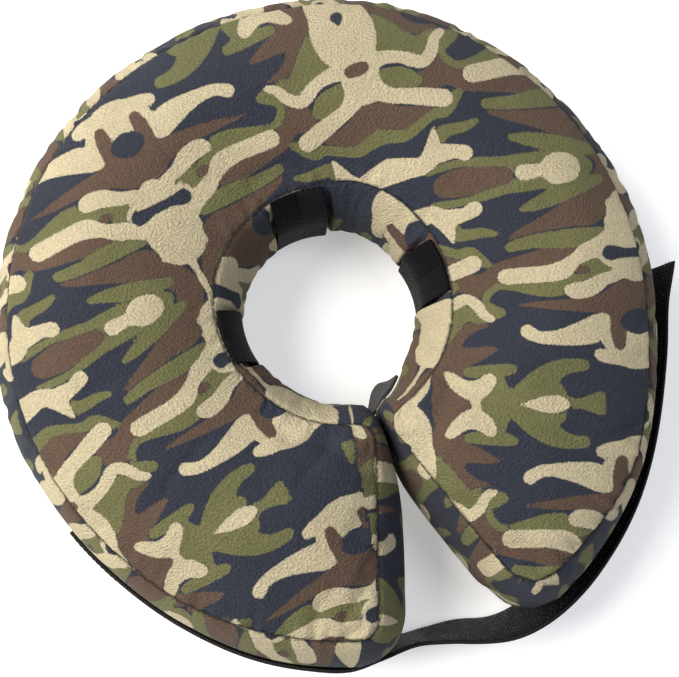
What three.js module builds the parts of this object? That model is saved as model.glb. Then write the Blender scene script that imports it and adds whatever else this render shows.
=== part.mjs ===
// Inflatable recovery collar for a dog or a cat: a soft C-shaped ring that keeps the animal from
// reaching its wound. Six cloth panels, sewn edge to edge, make the hollow cover that is blown up
// tight. Three webbing loops on the neck wall take the animal's own collar, a tab closes the neck
// side of the gap, and a strap sewn to the left arm closes round the right arm.
// Millimetres, +Z up. The gap opens towards -Y, and the ring lies flat on its underside.
import * as THREE from "three";

// The ring
const outerRadius = 159; // fullest line of the outer wall
const neckRadius = 42.5; // fullest line of the neck wall
const seamHalfHeight = 30; // top and bottom seams, from the middle of the walls
const wallBulge = 12.5; // walls swell this far past their seams
const crownRise = 13; // top and bottom panels swell this far past their seams
const restFlat = 3; // the underside is pressed flat by this much
const clothThickness = 2.5;
const seamGap = 0.5; // between the edges of two panels, across and down

// The gap between the arms, measured between the seams of the two ends
const gapAtNeck = 2;
const gapAtMouth = 66;
const neckCorner = 11; // the seam's corner radius on the neck side
const leftMouthCorner = 9; // and on the outside
const rightMouthCorner = 15;
const leftEndBulge = 14;
const rightEndBulge = 8;
const rightCornerBulge = 8; // the right arm's neck wall is slack beside its end
const rightCornerFade = 22;
const contactX = 2.5; // where the two ends press on each other
const contactGap = 1;
const contactSoftness = 3;

// Webbing loops
const loopWidth = 26;
const webbingThickness = 1.4;
const loopFlatHalfHeight = 9; // straight middle of a loop, each way from the middle of the wall
const loopDent = 7.4; // the neck wall is pressed back behind a loop
const loopDentHalfWidth = 16; // along the neck, each way from the loop's middle
const loopDentFade = 11;
const loopSeamDrop = 0.8; // a loop's ends stop this far below the seam, and this far in from it
const loopSeamInset = 0.8;
const loopCornerInset = 0.8; // a loop's corners lie this far behind the wall's fullest line
const loopBend = 1.7; // above 1, a loop bends back later and more sharply
const clearance = 0.3; // between a loop, strap or tab and the cloth that it lies on
const facetSag = 0.3; // the flat facets of a piece that hugs a curve cut inside it by up to this

// Closing strap and the strip that it grips
const strapWidth = 38;
const strapThickness = 2;
const strapTopEdge = 1; // above the middle of the wall
const strapSlack = 10; // the free end would stand off the right arm by about this
const stripThickness = 1;
const stripStart = 342; // bearing of its end near the gap
const stripEnd = 298;
const stripTop = 0.02; // shares of the wall's half height
const stripBottom = -0.8;

// Neck tab
const tabWidth = 25;
const tabThickness = 1.6;
const tabTopEdge = -3;

// How finely the cloth is divided
const sectionsRound = 58;
const sectionsAcross = 10;
const sectionsUp = 6;

// Bearings run clockwise from the middle of the gap, seen from above, in degrees: the left arm
// starts at 0, the back is at 180. The two radii are shares of outerRadius and neckRadius.
const outline = [
  { bearing: 0, outer: 1.03, neck: 1.05 },
  { bearing: 15, outer: 1.032, neck: 1.045 },
  { bearing: 30, outer: 1.022, neck: 1.03 },
  { bearing: 45, outer: 1.0, neck: 1.0 },
  { bearing: 60, outer: 0.986, neck: 0.985 },
  { bearing: 90, outer: 0.986, neck: 0.995 },
  { bearing: 120, outer: 0.985, neck: 1.01 },
  { bearing: 150, outer: 0.999, neck: 1.005 },
  { bearing: 180, outer: 1.002, neck: 1.01 },
  { bearing: 210, outer: 1.014, neck: 1.075 },
  { bearing: 240, outer: 1.0, neck: 1.035 },
  { bearing: 270, outer: 0.993, neck: 0.98 },
  { bearing: 300, outer: 0.984, neck: 0.975 },
  { bearing: 330, outer: 1.048, neck: 1.0 },
  { bearing: 345, outer: 1.062, neck: 1.03 },
];

// The strap from its sewn end on the left arm to its free end. Where it hugs the wall its section
// follows the wall's curve. Elsewhere it is flat and leans outwards, in degrees, and standOff is how
// far it stands off the ring's fullest line, as a share of strapSlack. It cuts the corner in the gap.
const strapRun = [
  { bearing: 69, hug: 1, standOff: 0.0, lean: 6 },
  { bearing: 54, hug: 1, standOff: 0.0, lean: 6 },
  { bearing: 39, hug: 1, standOff: 0.0, lean: 6 },
  { bearing: 24, hug: 1, standOff: 0.0, lean: 6 },
  { bearing: 17, hug: 0.9, standOff: 0.0, lean: 5 },
  { bearing: 12, hug: 0.6, standOff: -0.34, lean: 5 },
  { bearing: 6, hug: 0, standOff: -0.6, lean: 4 },
  { bearing: 1, hug: 0, standOff: -0.36, lean: 8 },
  { bearing: -4, hug: 0, standOff: 0.0, lean: 14 },
  { bearing: -9, hug: 0, standOff: 0.35, lean: 14 },
  { bearing: -15, hug: 0, standOff: 0.42, lean: 15 },
  { bearing: -22, hug: 0, standOff: 0.36, lean: 18 },
  { bearing: -30, hug: 0, standOff: 0.28, lean: 20 },
  { bearing: -40, hug: 0, standOff: 0.26, lean: 22 },
  { bearing: -52, hug: 0, standOff: 0.21, lean: 25 },
  { bearing: -65, hug: 0, standOff: 0.2, lean: 28 },
  { bearing: -73, hug: 0, standOff: 0.26, lean: 30 },
  { bearing: -80, hug: 0, standOff: 0.66, lean: 34 },
];
const strapStep = 3; // degrees
const strapSections = 5; // across its width

// The tab from the left arm's neck wall to the right arm's. It sags into the crotch between the
// arms by a share of tabSag, hangs lower by a share of tabDrop, and leans in at its lower edge, in
// degrees.
const tabSag = 5;
const tabDrop = 6;
const tabRun = [
  { bearing: 24, sag: 0, drop: 1, lean: -8 },
  { bearing: 14, sag: 0, drop: 1, lean: -6 },
  { bearing: 0, sag: 1, drop: 0.4, lean: 4 },
  { bearing: -12, sag: 0.1, drop: 0, lean: 16 },
  { bearing: -20, sag: 0, drop: 0, lean: 16 },
  { bearing: -28, sag: 0, drop: 0, lean: 4 },
];

const up = new THREE.Vector3(0, 0, 1);
const radians = THREE.MathUtils.degToRad;
const wallArc = 2 * Math.atan(wallBulge / seamHalfHeight); // half of the wall's arc
const seamFacing = (wallArc + Math.PI / 2 - Math.atan((4 * crownRise) / bandWidth(90))) / 2;

function smooth(share) {
  const t = THREE.MathUtils.clamp(share, 0, 1);
  return t * t * (3 - 2 * t);
}

// Cubic curve through one column of a table, by bearing. A table that wraps goes all the way round.
function along(table, column, bearing, wraps = false) {
  const count = table.length;
  const row = (i) => {
    if (!wraps) return table[THREE.MathUtils.clamp(i, 0, count - 1)];
    const turn = Math.floor(i / count);
    const source = table[i - turn * count];
    return { bearing: source.bearing + 360 * turn, [column]: source[column] };
  };
  const way = Math.sign(table[count - 1].bearing - table[0].bearing);
  const lastStart = wraps ? count - 1 : count - 2;
  let i = 0;
  while (i < lastStart && way * (bearing - row(i + 1).bearing) >= 0) i += 1;
  const [before, start, end, after] = [row(i - 1), row(i), row(i + 1), row(i + 2)];
  const span = end.bearing - start.bearing;
  const slope = (a, b) =>
    a.bearing === b.bearing ? 0 : ((b[column] - a[column]) / (b.bearing - a.bearing)) * span;
  const t = THREE.MathUtils.clamp((bearing - start.bearing) / span, 0, 1);
  const [startSlope, endSlope] = [slope(before, end), slope(start, after)];
  return (
    start[column] * (2 * t ** 3 - 3 * t ** 2 + 1) +
    end[column] * (3 * t ** 2 - 2 * t ** 3) +
    startSlope * (t ** 3 - 2 * t ** 2 + t) +
    endSlope * (t ** 3 - t ** 2)
  );
}

function outlineShare(column, bearing) {
  return along(outline, column, THREE.MathUtils.euclideanModulo(bearing, 360), true);
}
function outerCrest(bearing) {
  return outerRadius * outlineShare("outer", bearing);
}
function neckCrest(bearing) {
  return neckRadius * outlineShare("neck", bearing);
}
function outerSeam(bearing) {
  return outerCrest(bearing) - wallBulge;
}
function neckSeam(bearing) {
  return neckCrest(bearing) + wallBulge;
}
function bandWidth(bearing) {
  return outerSeam(bearing) - neckSeam(bearing);
}
function outward(bearing) {
  return new THREE.Vector3(-Math.sin(radians(bearing)), -Math.cos(radians(bearing)), 0);
}

// How far the end's seam draws back, along the ring, to round the corner at one side of it.
function cornerRetreat(fromEdge, radius) {
  if (fromEdge >= radius) return 0;
  return radius - Math.sqrt(radius * radius - (radius - fromEdge) ** 2);
}

// How far an arm's end seam lies from the middle of the gap, in degrees, at a share of the way from
// the neck to the outside.
function endBearing(across, mouthCorner) {
  const width = bandWidth(0);
  const radius = neckSeam(0) + across * width;
  const halfGap = THREE.MathUtils.lerp(gapAtNeck, gapAtMouth, across) / 2;
  const retreat =
    cornerRetreat(across * width, neckCorner) + cornerRetreat((1 - across) * width, mouthCorner);
  return THREE.MathUtils.radToDeg(Math.asin(halfGap / radius) + retreat / radius);
}

// A place in the seam's plane: round runs 0 to 1 from the left arm's end to the right arm's, and
// across runs 0 to 1 from the neck to the outside.
function seamPlane(round, across) {
  const leftEnd = endBearing(across, leftMouthCorner);
  const rightEnd = 360 - endBearing(across, rightMouthCorner);
  const bearing = THREE.MathUtils.lerp(leftEnd, rightEnd, round);
  const radius = neckSeam(bearing) + across * bandWidth(bearing);
  return outward(bearing).multiplyScalar(radius);
}

function crownHeight(round, across) {
  const length = radians(360 - 2 * endBearing(0.5, leftMouthCorner)) * (outerRadius + neckRadius) * 0.5;
  const fromEnd = Math.min(round, 1 - round) * length;
  const endShare = 1 - (1 - Math.min(1, fromEnd / (bandWidth(0) / 2))) ** 2;
  return crownRise * 4 * across * (1 - across) * endShare;
}

// The four stretches of the closed seam. Each gives its points and the way that its wall faces.
const stretches = {
  neck: { place: (t) => seamPlane(t, 0), side: -1 },
  outside: { place: (t) => seamPlane(t, 1), side: 1 },
  left: { place: (t) => seamPlane(0, t), side: 1 },
  right: { place: (t) => seamPlane(1, t), side: -1 },
};

function facing(stretch, t) {
  const step = 1e-4;
  const from = stretch.place(Math.max(0, t - step));
  const to = stretch.place(Math.min(1, t + step));
  const tangent = to.sub(from).normalize();
  return new THREE.Vector3(-tangent.y, tangent.x, 0).multiplyScalar(stretch.side);
}

// Where a soft end presses on the other arm it stays on its own side of the contact.
function pressedBack(x, limit) {
  return limit - contactSoftness * Math.log1p(Math.exp((limit - x) / contactSoftness));
}

// How full a wall is at a level, which runs -1 to 1 from the bottom seam to the top one.
function fullness(level) {
  return (Math.cos(wallArc * level) - Math.cos(wallArc)) / (1 - Math.cos(wallArc));
}
function heightOf(level) {
  return (seamHalfHeight * Math.sin(wallArc * level)) / Math.sin(wallArc);
}

// A point of a wall, t along its stretch. The two ends press on each other.
function wallPoint(stretch, t, level, bulge) {
  const seam = stretch.place(t);
  const face = facing(stretch, t);
  const point = seam.clone().addScaledVector(face, bulge * fullness(level));
  if (point.y < 0 && stretch !== stretches.outside) {
    const sign = seam.x < contactX ? 1 : -1;
    const pressed = pressedBack(sign * point.x, sign * contactX - contactGap / 2);
    point.x = sign * Math.max(pressed, Math.min(sign * point.x, sign * seam.x));
  }
  point.z = heightOf(level);
  return point;
}

// The way a wall faces at a level: at its two seams, halfway between the wall and the panel.
function wallNormal(stretch, t, level) {
  const tilt = Math.abs(level) === 1 ? Math.sign(level) * seamFacing : wallArc * level;
  return facing(stretch, t).multiplyScalar(Math.cos(tilt)).addScaledVector(up, Math.sin(tilt));
}

// A closed sheet from rows of outer points and normals, thickness deep behind the points.
function sheet(rows, thickness) {
  const count = rows[0].length;
  const positions = [];
  for (const row of rows) for (const { point } of row) positions.push(...point);
  for (const row of rows) {
    for (const { point, normal } of row) {
      positions.push(...point.clone().addScaledVector(normal, -thickness));
    }
  }
  const back = rows.length * count;
  const index = [];
  const quad = (a, b, c, d) => index.push(a, b, c, a, c, d);
  for (let i = 0; i + 1 < rows.length; i += 1) {
    for (let j = 0; j + 1 < count; j += 1) {
      const [a, b] = [i * count + j, (i + 1) * count + j];
      quad(a, b, b + 1, a + 1);
      quad(back + a, back + a + 1, back + b + 1, back + b);
    }
    const [near, far] = [i * count, (i + 1) * count];
    quad(near, back + near, back + far, far);
    quad(near + count - 1, far + count - 1, back + far + count - 1, back + near + count - 1);
  }
  for (let j = 0; j + 1 < count; j += 1) {
    const last = (rows.length - 1) * count + j;
    quad(j, j + 1, back + j + 1, back + j);
    quad(last, back + last, back + last + 1, last + 1);
  }
  const geometry = new THREE.BufferGeometry();
  geometry.setAttribute("position", new THREE.Float32BufferAttribute(positions, 3));
  geometry.setIndex(volumeOf(positions, index) < 0 ? index.reverse() : index);
  geometry.computeVertexNormals();
  return geometry;
}

function volumeOf(positions, index) {
  const corner = (k) => new THREE.Vector3().fromArray(positions, 3 * index[k]);
  let sum = 0;
  for (let k = 0; k < index.length; k += 3) {
    sum += corner(k).dot(corner(k + 1).cross(corner(k + 2))) / 6;
  }
  return sum;
}

// Rows run closer together near the seams, where the corners are.
function eased(i, count) {
  return (1 - Math.cos((Math.PI * i) / count)) / 2;
}

// Top panel, or with side -1 the underside, which is pressed flat where it rests.
function crownPanel(side) {
  const flat = seamHalfHeight + crownRise - restFlat;
  const pointAt = (round, across) => {
    const point = seamPlane(round, across);
    const height = seamHalfHeight + crownHeight(round, across);
    point.z = side > 0 ? height : -Math.min(height, flat);
    return point;
  };
  const edgeFacing = (i, j, round, across) => {
    if (i === sectionsRound) return facing(stretches.right, across);
    if (i === 0) return facing(stretches.left, across);
    if (j === sectionsAcross) return facing(stretches.outside, round);
    return j === 0 ? facing(stretches.neck, round) : null;
  };
  const rows = [];
  for (let i = 0; i <= sectionsRound; i += 1) {
    const row = [];
    for (let j = 0; j <= sectionsAcross; j += 1) {
      const round = i / sectionsRound;
      const across = eased(j, sectionsAcross);
      const point = pointAt(round, across);
      const edge = edgeFacing(i, j, round, across);
      let normal;
      if (edge) {
        point.addScaledVector(edge, -seamGap / 2);
        normal = edge.clone().multiplyScalar(Math.cos(seamFacing));
        normal.addScaledVector(up, side * Math.sin(seamFacing));
      } else {
        const step = 1e-3;
        const lengthwise = pointAt(round + step, across).sub(pointAt(round - step, across));
        const crosswise = pointAt(round, across + step).sub(pointAt(round, across - step));
        normal = lengthwise.cross(crosswise).normalize();
        if (normal.z * side < 0) normal.negate();
      }
      row.push({ point, normal });
    }
    rows.push(row);
  }
  return sheet(rows, clothThickness);
}

// A wall panel along one stretch of the seam.
function wallPanel(stretch, count, placeOf, bulgeOf) {
  const rows = [];
  for (let i = 0; i <= count; i += 1) {
    const t = placeOf(i);
    const row = [];
    for (let j = 0; j <= sectionsUp; j += 1) {
      const level = (2 * j) / sectionsUp - 1;
      const point = wallPoint(stretch, t, level, bulgeOf(t));
      if (j === 0 || j === sectionsUp) point.z -= (Math.sign(level) * seamGap) / 2;
      row.push({ point, normal: wallNormal(stretch, t, level) });
    }
    rows.push(row);
  }
  for (const [edge, inside] of [
    [0, 1],
    [count, count - 1],
  ]) {
    rows[edge].forEach((at, j) => {
      const inwards = rows[inside][j].point.clone().sub(at.point).setZ(0).normalize();
      at.point.addScaledVector(inwards, seamGap / 2);
    });
  }
  return sheet(rows, clothThickness);
}

const loopBearings = { left_loop: 90, back_loop: 180, right_loop: 270 };

function neckBulgeAt(bearing) {
  let dent = 0;
  for (const loopBearing of Object.values(loopBearings)) {
    const turn = Math.abs(((bearing - loopBearing + 540) % 360) - 180);
    const aside = radians(turn) * neckRadius;
    dent += 1 - smooth((aside - loopDentHalfWidth) / loopDentFade);
  }
  const end = 360 - endBearing(0, rightMouthCorner);
  const fromEnd = radians(end - bearing) * neckRadius;
  const bulge = THREE.MathUtils.lerp(rightCornerBulge, wallBulge, smooth(fromEnd / rightCornerFade));
  return bulge - loopDent * dent;
}
function neckBulge(t) {
  const place = seamPlane(t, 0);
  const bearing = THREE.MathUtils.radToDeg(Math.atan2(-place.x, -place.y));
  return neckBulgeAt((bearing + 360) % 360);
}

function endBulge(neckSide, fullness, across) {
  const inFromSides = Math.min(across, 1 - across) * bandWidth(0);
  const corner = across < 0.5 ? neckSide : wallBulge;
  return THREE.MathUtils.lerp(corner, fullness, smooth(inFromSides / neckCorner));
}

// A webbing loop stands straight across the middle of the neck wall, and bends back to the two
// seams that hold its ends. It is flat across its width.
function loopGeometry(bearing) {
  const half = loopWidth / 2;
  const flatAcross = (radius) => Math.sqrt(radius * radius - half * half);
  const middle = flatAcross(neckCrest(bearing) + loopCornerInset) + webbingThickness;
  const end = flatAcross(neckSeam(bearing) - clearance - loopSeamInset);
  const top = seamHalfHeight - loopSeamDrop;
  const steps = 5;
  const back = [];
  for (let i = 0; i <= steps; i += 1) {
    const z = THREE.MathUtils.lerp(loopFlatHalfHeight, top, i / steps);
    back.push(new THREE.Vector2(middle + (end - middle) * (i / steps) ** loopBend, z));
  }
  const shape = new THREE.Shape();
  const upper = back.slice().reverse();
  const lower = back.map((p) => new THREE.Vector2(p.x, -p.y));
  const face = (p) => new THREE.Vector2(p.x - webbingThickness, p.y);
  shape.setFromPoints([...upper, ...lower, ...lower.map(face).reverse(), ...upper.map(face).reverse()]);
  const geometry = new THREE.ExtrudeGeometry(shape, { depth: loopWidth, bevelEnabled: false });
  return geometry.translate(0, 0, -half);
}

function addLoop(collar, name, bearing, material) {
  const loop = new THREE.Mesh(loopGeometry(bearing), material);
  const radial = outward(bearing);
  const basis = new THREE.Matrix4().makeBasis(radial, up, radial.clone().cross(up));
  loop.quaternion.setFromRotationMatrix(basis);
  loop.name = name;
  collar.add(loop);
}

// The strap's section runs down from its top edge. A flat one touches the wall's arc where the arc
// has the same lean.
function strapGeometry() {
  const first = strapRun[0].bearing;
  const last = strapRun[strapRun.length - 1].bearing;
  const count = Math.round((first - last) / strapStep);
  const arcRadius = seamHalfHeight / Math.sin(wallArc);
  const topLean = -Math.asin(strapTopEdge / arcRadius);
  const rows = [];
  for (let i = 0; i <= count; i += 1) {
    const bearing = THREE.MathUtils.lerp(first, last, i / count);
    const at = (column) => along(strapRun, column, bearing);
    const hug = THREE.MathUtils.clamp(at("hug"), 0, 1);
    const flatLean = radians(at("lean"));
    const touch = arcRadius * Math.sin(flatLean);
    const flatReach =
      (strapTopEdge + touch) * Math.tan(flatLean) - arcRadius * (1 - Math.cos(flatLean));
    const hugReach = -arcRadius * (1 - Math.cos(topLean));
    let radius = outerCrest(bearing) + THREE.MathUtils.lerp(flatReach, hugReach, hug);
    radius += strapSlack * at("standOff") + clearance + facetSag;
    let z = strapTopEdge;
    const out = outward(bearing);
    const row = [];
    for (let j = 0; j <= strapSections; j += 1) {
      const leanAt = (down) => THREE.MathUtils.lerp(flatLean, topLean + down / arcRadius, hug);
      const lean = leanAt((j * strapWidth) / strapSections);
      const normal = out.clone().multiplyScalar(Math.cos(lean)).addScaledVector(up, -Math.sin(lean));
      const point = out.clone().multiplyScalar(radius).setZ(z);
      row.push({ point: point.addScaledVector(normal, strapThickness), normal });
      const stepLean = leanAt(((j + 0.5) * strapWidth) / strapSections);
      radius -= (strapWidth / strapSections) * Math.sin(stepLean);
      z -= (strapWidth / strapSections) * Math.cos(stepLean);
    }
    rows.push(row);
  }
  return sheet(rows, strapThickness);
}

// The strip on the right arm that the strap grips follows the wall's own curve.
function stripGeometry() {
  const count = 12;
  const levels = 4;
  const rows = [];
  for (let i = 0; i <= count; i += 1) {
    const bearing = THREE.MathUtils.lerp(stripStart, stripEnd, i / count);
    const out = outward(bearing);
    const row = [];
    for (let j = 0; j <= levels; j += 1) {
      const level = THREE.MathUtils.lerp(stripBottom, stripTop, j / levels);
      const point = out.clone().multiplyScalar(outerSeam(bearing) + wallBulge * fullness(level));
      point.z = heightOf(level);
      const normal = out.clone().multiplyScalar(Math.cos(wallArc * level));
      normal.addScaledVector(up, Math.sin(wallArc * level));
      row.push({ point: point.addScaledVector(normal, 2 * clearance + stripThickness), normal });
    }
    rows.push(row);
  }
  return sheet(rows, stripThickness);
}

// The tab runs along the neck side, from one arm across to the other.
function tabGeometry() {
  const first = tabRun[0].bearing;
  const last = tabRun[tabRun.length - 1].bearing;
  const count = 14;
  const rows = [];
  for (let i = 0; i <= count; i += 1) {
    const bearing = THREE.MathUtils.lerp(first, last, i / count);
    const at = (column) => along(tabRun, column, bearing);
    const lean = radians(at("lean"));
    const wall = neckSeam(bearing) - Math.max(0, neckBulgeAt((bearing + 360) % 360));
    const normal = outward(bearing).multiplyScalar(-Math.cos(lean)).addScaledVector(up, Math.sin(lean));
    const row = [0, tabWidth].map((down) => {
      const radius = wall - clearance - facetSag + tabSag * at("sag") - down * Math.sin(lean);
      const point = outward(bearing).multiplyScalar(radius);
      point.z = tabTopEdge - tabDrop * at("drop") - down * Math.cos(lean);
      return { point: point.addScaledVector(normal, tabThickness), normal };
    });
    rows.push(row);
  }
  return sheet(rows, tabThickness);
}

const plush = new THREE.MeshStandardMaterial({ color: 0x6b6148, roughness: 0.85, metalness: 0 });
const webbing = new THREE.MeshStandardMaterial({ color: 0x0b0b0c, roughness: 0.7, metalness: 0 });
const hookTape = new THREE.MeshStandardMaterial({ color: 0x080808, roughness: 0.6, metalness: 0 });
const loopTape = new THREE.MeshStandardMaterial({ color: 0x0c0c0c, roughness: 0.95, metalness: 0 });
const ribbedTape = new THREE.MeshStandardMaterial({ color: 0x2b292b, roughness: 0.8, metalness: 0 });

function addPiece(collar, name, geometry, material) {
  const piece = new THREE.Mesh(geometry, material);
  piece.name = name;
  collar.add(piece);
}

function buildCollar() {
  const collar = new THREE.Group();
  collar.name = "recovery_collar";
  const { neck, outside, left, right } = stretches;
  const evenly = (i) => i / sectionsRound;
  const easedAcross = (i) => eased(i, sectionsAcross);
  addPiece(collar, "top_panel", crownPanel(1), plush);
  addPiece(collar, "bottom_panel", crownPanel(-1), plush);
  addPiece(collar, "outer_wall", wallPanel(outside, sectionsRound, evenly, () => wallBulge), plush);
  addPiece(collar, "neck_wall", wallPanel(neck, sectionsRound, evenly, neckBulge), plush);
  const leftBulge = (across) => endBulge(wallBulge, leftEndBulge, across);
  const rightBulge = (across) => endBulge(rightCornerBulge, rightEndBulge, across);
  const leftEnd = wallPanel(left, sectionsAcross, easedAcross, leftBulge);
  const rightEnd = wallPanel(right, sectionsAcross, easedAcross, rightBulge);
  addPiece(collar, "left_end_panel", leftEnd, plush);
  addPiece(collar, "right_end_panel", rightEnd, plush);
  for (const [name, bearing] of Object.entries(loopBearings)) {
    addLoop(collar, name, bearing, webbing);
  }
  addPiece(collar, "closing_strap", strapGeometry(), hookTape);
  addPiece(collar, "landing_strip", stripGeometry(), loopTape);
  addPiece(collar, "neck_tab", tabGeometry(), ribbedTape);
  return collar;
}

// The part's origin is under the middle of its bounding box, on the surface that it lies on.
const collar = buildCollar();
const box = new THREE.Box3().setFromObject(collar, true);
const middle = box.getCenter(new THREE.Vector3());
collar.position.set(-middle.x, -middle.y, -box.min.z);

export default collar;
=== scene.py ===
"""An inflatable recovery collar for a pet: a blown-up ring in a camouflage plush cover, with three
webbing loops, a neck tab and a closing strap. Places are in millimetres until a mesh is made."""
import bmesh
import bpy
import math
import numpy as np
from mathutils import Matrix, Vector


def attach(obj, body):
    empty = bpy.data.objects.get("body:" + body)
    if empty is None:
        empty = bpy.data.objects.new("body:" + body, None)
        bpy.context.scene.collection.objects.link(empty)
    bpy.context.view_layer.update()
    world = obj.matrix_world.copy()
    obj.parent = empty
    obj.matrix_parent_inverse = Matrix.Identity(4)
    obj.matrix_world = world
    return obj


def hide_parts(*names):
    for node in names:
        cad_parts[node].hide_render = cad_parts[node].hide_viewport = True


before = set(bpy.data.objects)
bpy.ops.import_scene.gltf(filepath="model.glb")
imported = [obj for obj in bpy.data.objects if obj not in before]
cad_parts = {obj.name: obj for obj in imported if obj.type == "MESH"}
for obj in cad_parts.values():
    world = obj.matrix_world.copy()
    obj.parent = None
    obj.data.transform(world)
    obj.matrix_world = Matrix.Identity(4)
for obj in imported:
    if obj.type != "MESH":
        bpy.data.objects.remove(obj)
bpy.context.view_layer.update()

# Studio: the collar lies on a pale table and is seen from above, the gap between its arms
# towards the bottom of the picture. A big soft light hangs above its left, a weaker one right.
TO_METRES = 0.001
LENS_LENGTH, SENSOR_WIDTH, PICTURE_TURN = 57.1, 36, math.radians(70)
eye = Vector((-74.4, -96.5, 547.7)) * TO_METRES
looked_at = Vector((-8.26, -5.45, 40.0)) * TO_METRES
picture_up = Vector((math.cos(PICTURE_TURN), math.sin(PICTURE_TURN), 0))
away = (eye - looked_at).normalized()
picture_right = picture_up.cross(away).normalized()
picture_up = away.cross(picture_right)
lens = bpy.data.cameras.new("studio_camera")
lens.lens, lens.sensor_width = LENS_LENGTH, SENSOR_WIDTH
lens.clip_start, lens.clip_end = 0.05, 20


def placed(name, data):
    """A new object in the scene, with its origin at the world's."""
    made = bpy.data.objects.new(name, data)
    bpy.context.scene.collection.objects.link(made)
    return made


def mesh_of(name, places, faces=()):
    """A mesh of places in millimetres."""
    mesh = bpy.data.meshes.new(name)
    mesh.from_pydata((places * TO_METRES).tolist(), [], faces)
    return mesh


def store(mesh, name, values, kind="FLOAT_VECTOR", domain="POINT"):
    """Keeps values on a mesh, where its finish or its threads read them."""
    made = mesh.attributes.new(name, kind, domain)
    made.data.foreach_set("value" if kind == "FLOAT" else "vector",
                          np.asarray(values, np.float32).ravel())


def vectors_of(items, field):
    flat = np.zeros(len(items) * 3, np.float32)
    items.foreach_get(field, flat)
    return flat.reshape(-1, 3)


camera = placed("studio_camera", lens)
camera.matrix_world = Matrix.Translation(eye) @ Matrix(
    (picture_right, picture_up, away)).transposed().to_4x4()
bpy.context.scene.camera = camera


def hang_light(name, place, size, watts, tint):
    lamp = bpy.data.lights.new(name, "AREA")
    lamp.shape, lamp.size, lamp.energy, lamp.color = "DISK", size, watts, tint
    light = placed(name, lamp)
    light.location = place
    light.rotation_euler = (-Vector(place)).to_track_quat("-Z", "Y").to_euler()


hang_light("main_light", (-0.95, 0.5, 1.1), size=1.2, watts=48, tint=(1.0, 0.955, 0.88))
hang_light("side_light", (0.6, -0.3, 1.5), size=0.8, watts=9, tint=(0.88, 0.91, 1.0))
world = bpy.data.worlds.new("studio_air")
world.use_nodes = True
world.node_tree.nodes["Background"].inputs["Color"].default_value = (0.95, 0.97, 1.0, 1)
world.node_tree.nodes["Background"].inputs["Strength"].default_value = 0.22
bpy.context.scene.world = world
bpy.context.scene.view_settings.view_transform = "Standard"

TABLE_HALF, TABLE_HEIGHT = 12000.0, -0.4
table_top = mesh_of("table_top", np.array([
    (x * TABLE_HALF, y * TABLE_HALF, TABLE_HEIGHT)
    for x, y in ((-1, -1), (1, -1), (1, 1), (-1, 1))]), [(0, 1, 2, 3)])
table = placed("table", table_top)


def linear(hex_colour):
    """A paint chip's hex colour as the light it gives back."""
    parts = [int(hex_colour[i:i + 2], 16) / 255 for i in (0, 2, 4)]
    return tuple(p / 12.92 if p <= 0.04045 else ((p + 0.055) / 1.055) ** 2.4 for p in parts) + (1,)


class Wire:
    """A socket in a finish, so that sums over a surface read as ordinary arithmetic."""

    def __init__(self, finish, socket):
        self.finish, self.socket = finish, socket

    def _sum(self, operation, a, b=None):
        inputs = {i: v for i, v in enumerate((a, b)) if v is not None}
        return self.finish.node("ShaderNodeMath", {"operation": operation}, inputs)

    def __add__(self, other): return self._sum("ADD", self, other)
    def __radd__(self, other): return self._sum("ADD", other, self)
    def __sub__(self, other): return self._sum("SUBTRACT", self, other)
    def __rsub__(self, other): return self._sum("SUBTRACT", other, self)
    def __mul__(self, other): return self._sum("MULTIPLY", self, other)
    def __rmul__(self, other): return self._sum("MULTIPLY", other, self)

    def size(self): return self._sum("ABSOLUTE", self)
    def turned_over(self, every): return self._sum("PINGPONG", self, every)

    def wave(self, pitch):
        """Swings between 0 and 1, once in each pitch."""
        return self._sum("SINE", self * (2 * math.pi / pitch)) * 0.5 + 0.5

    def ramp(self, start, end, low=0.0, high=1.0):
        """low up to start, high from end on, and smooth between them."""
        return self.finish.node(
            "ShaderNodeMapRange", {"interpolation_type": "SMOOTHSTEP"},
            {"Value": self, "From Min": start, "From Max": end, "To Min": low, "To Max": high})


SHARE_SOCKET, UNDER_SOCKET, OVER_SOCKET, COLOUR_OUTPUT = 0, 6, 7, 2


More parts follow.
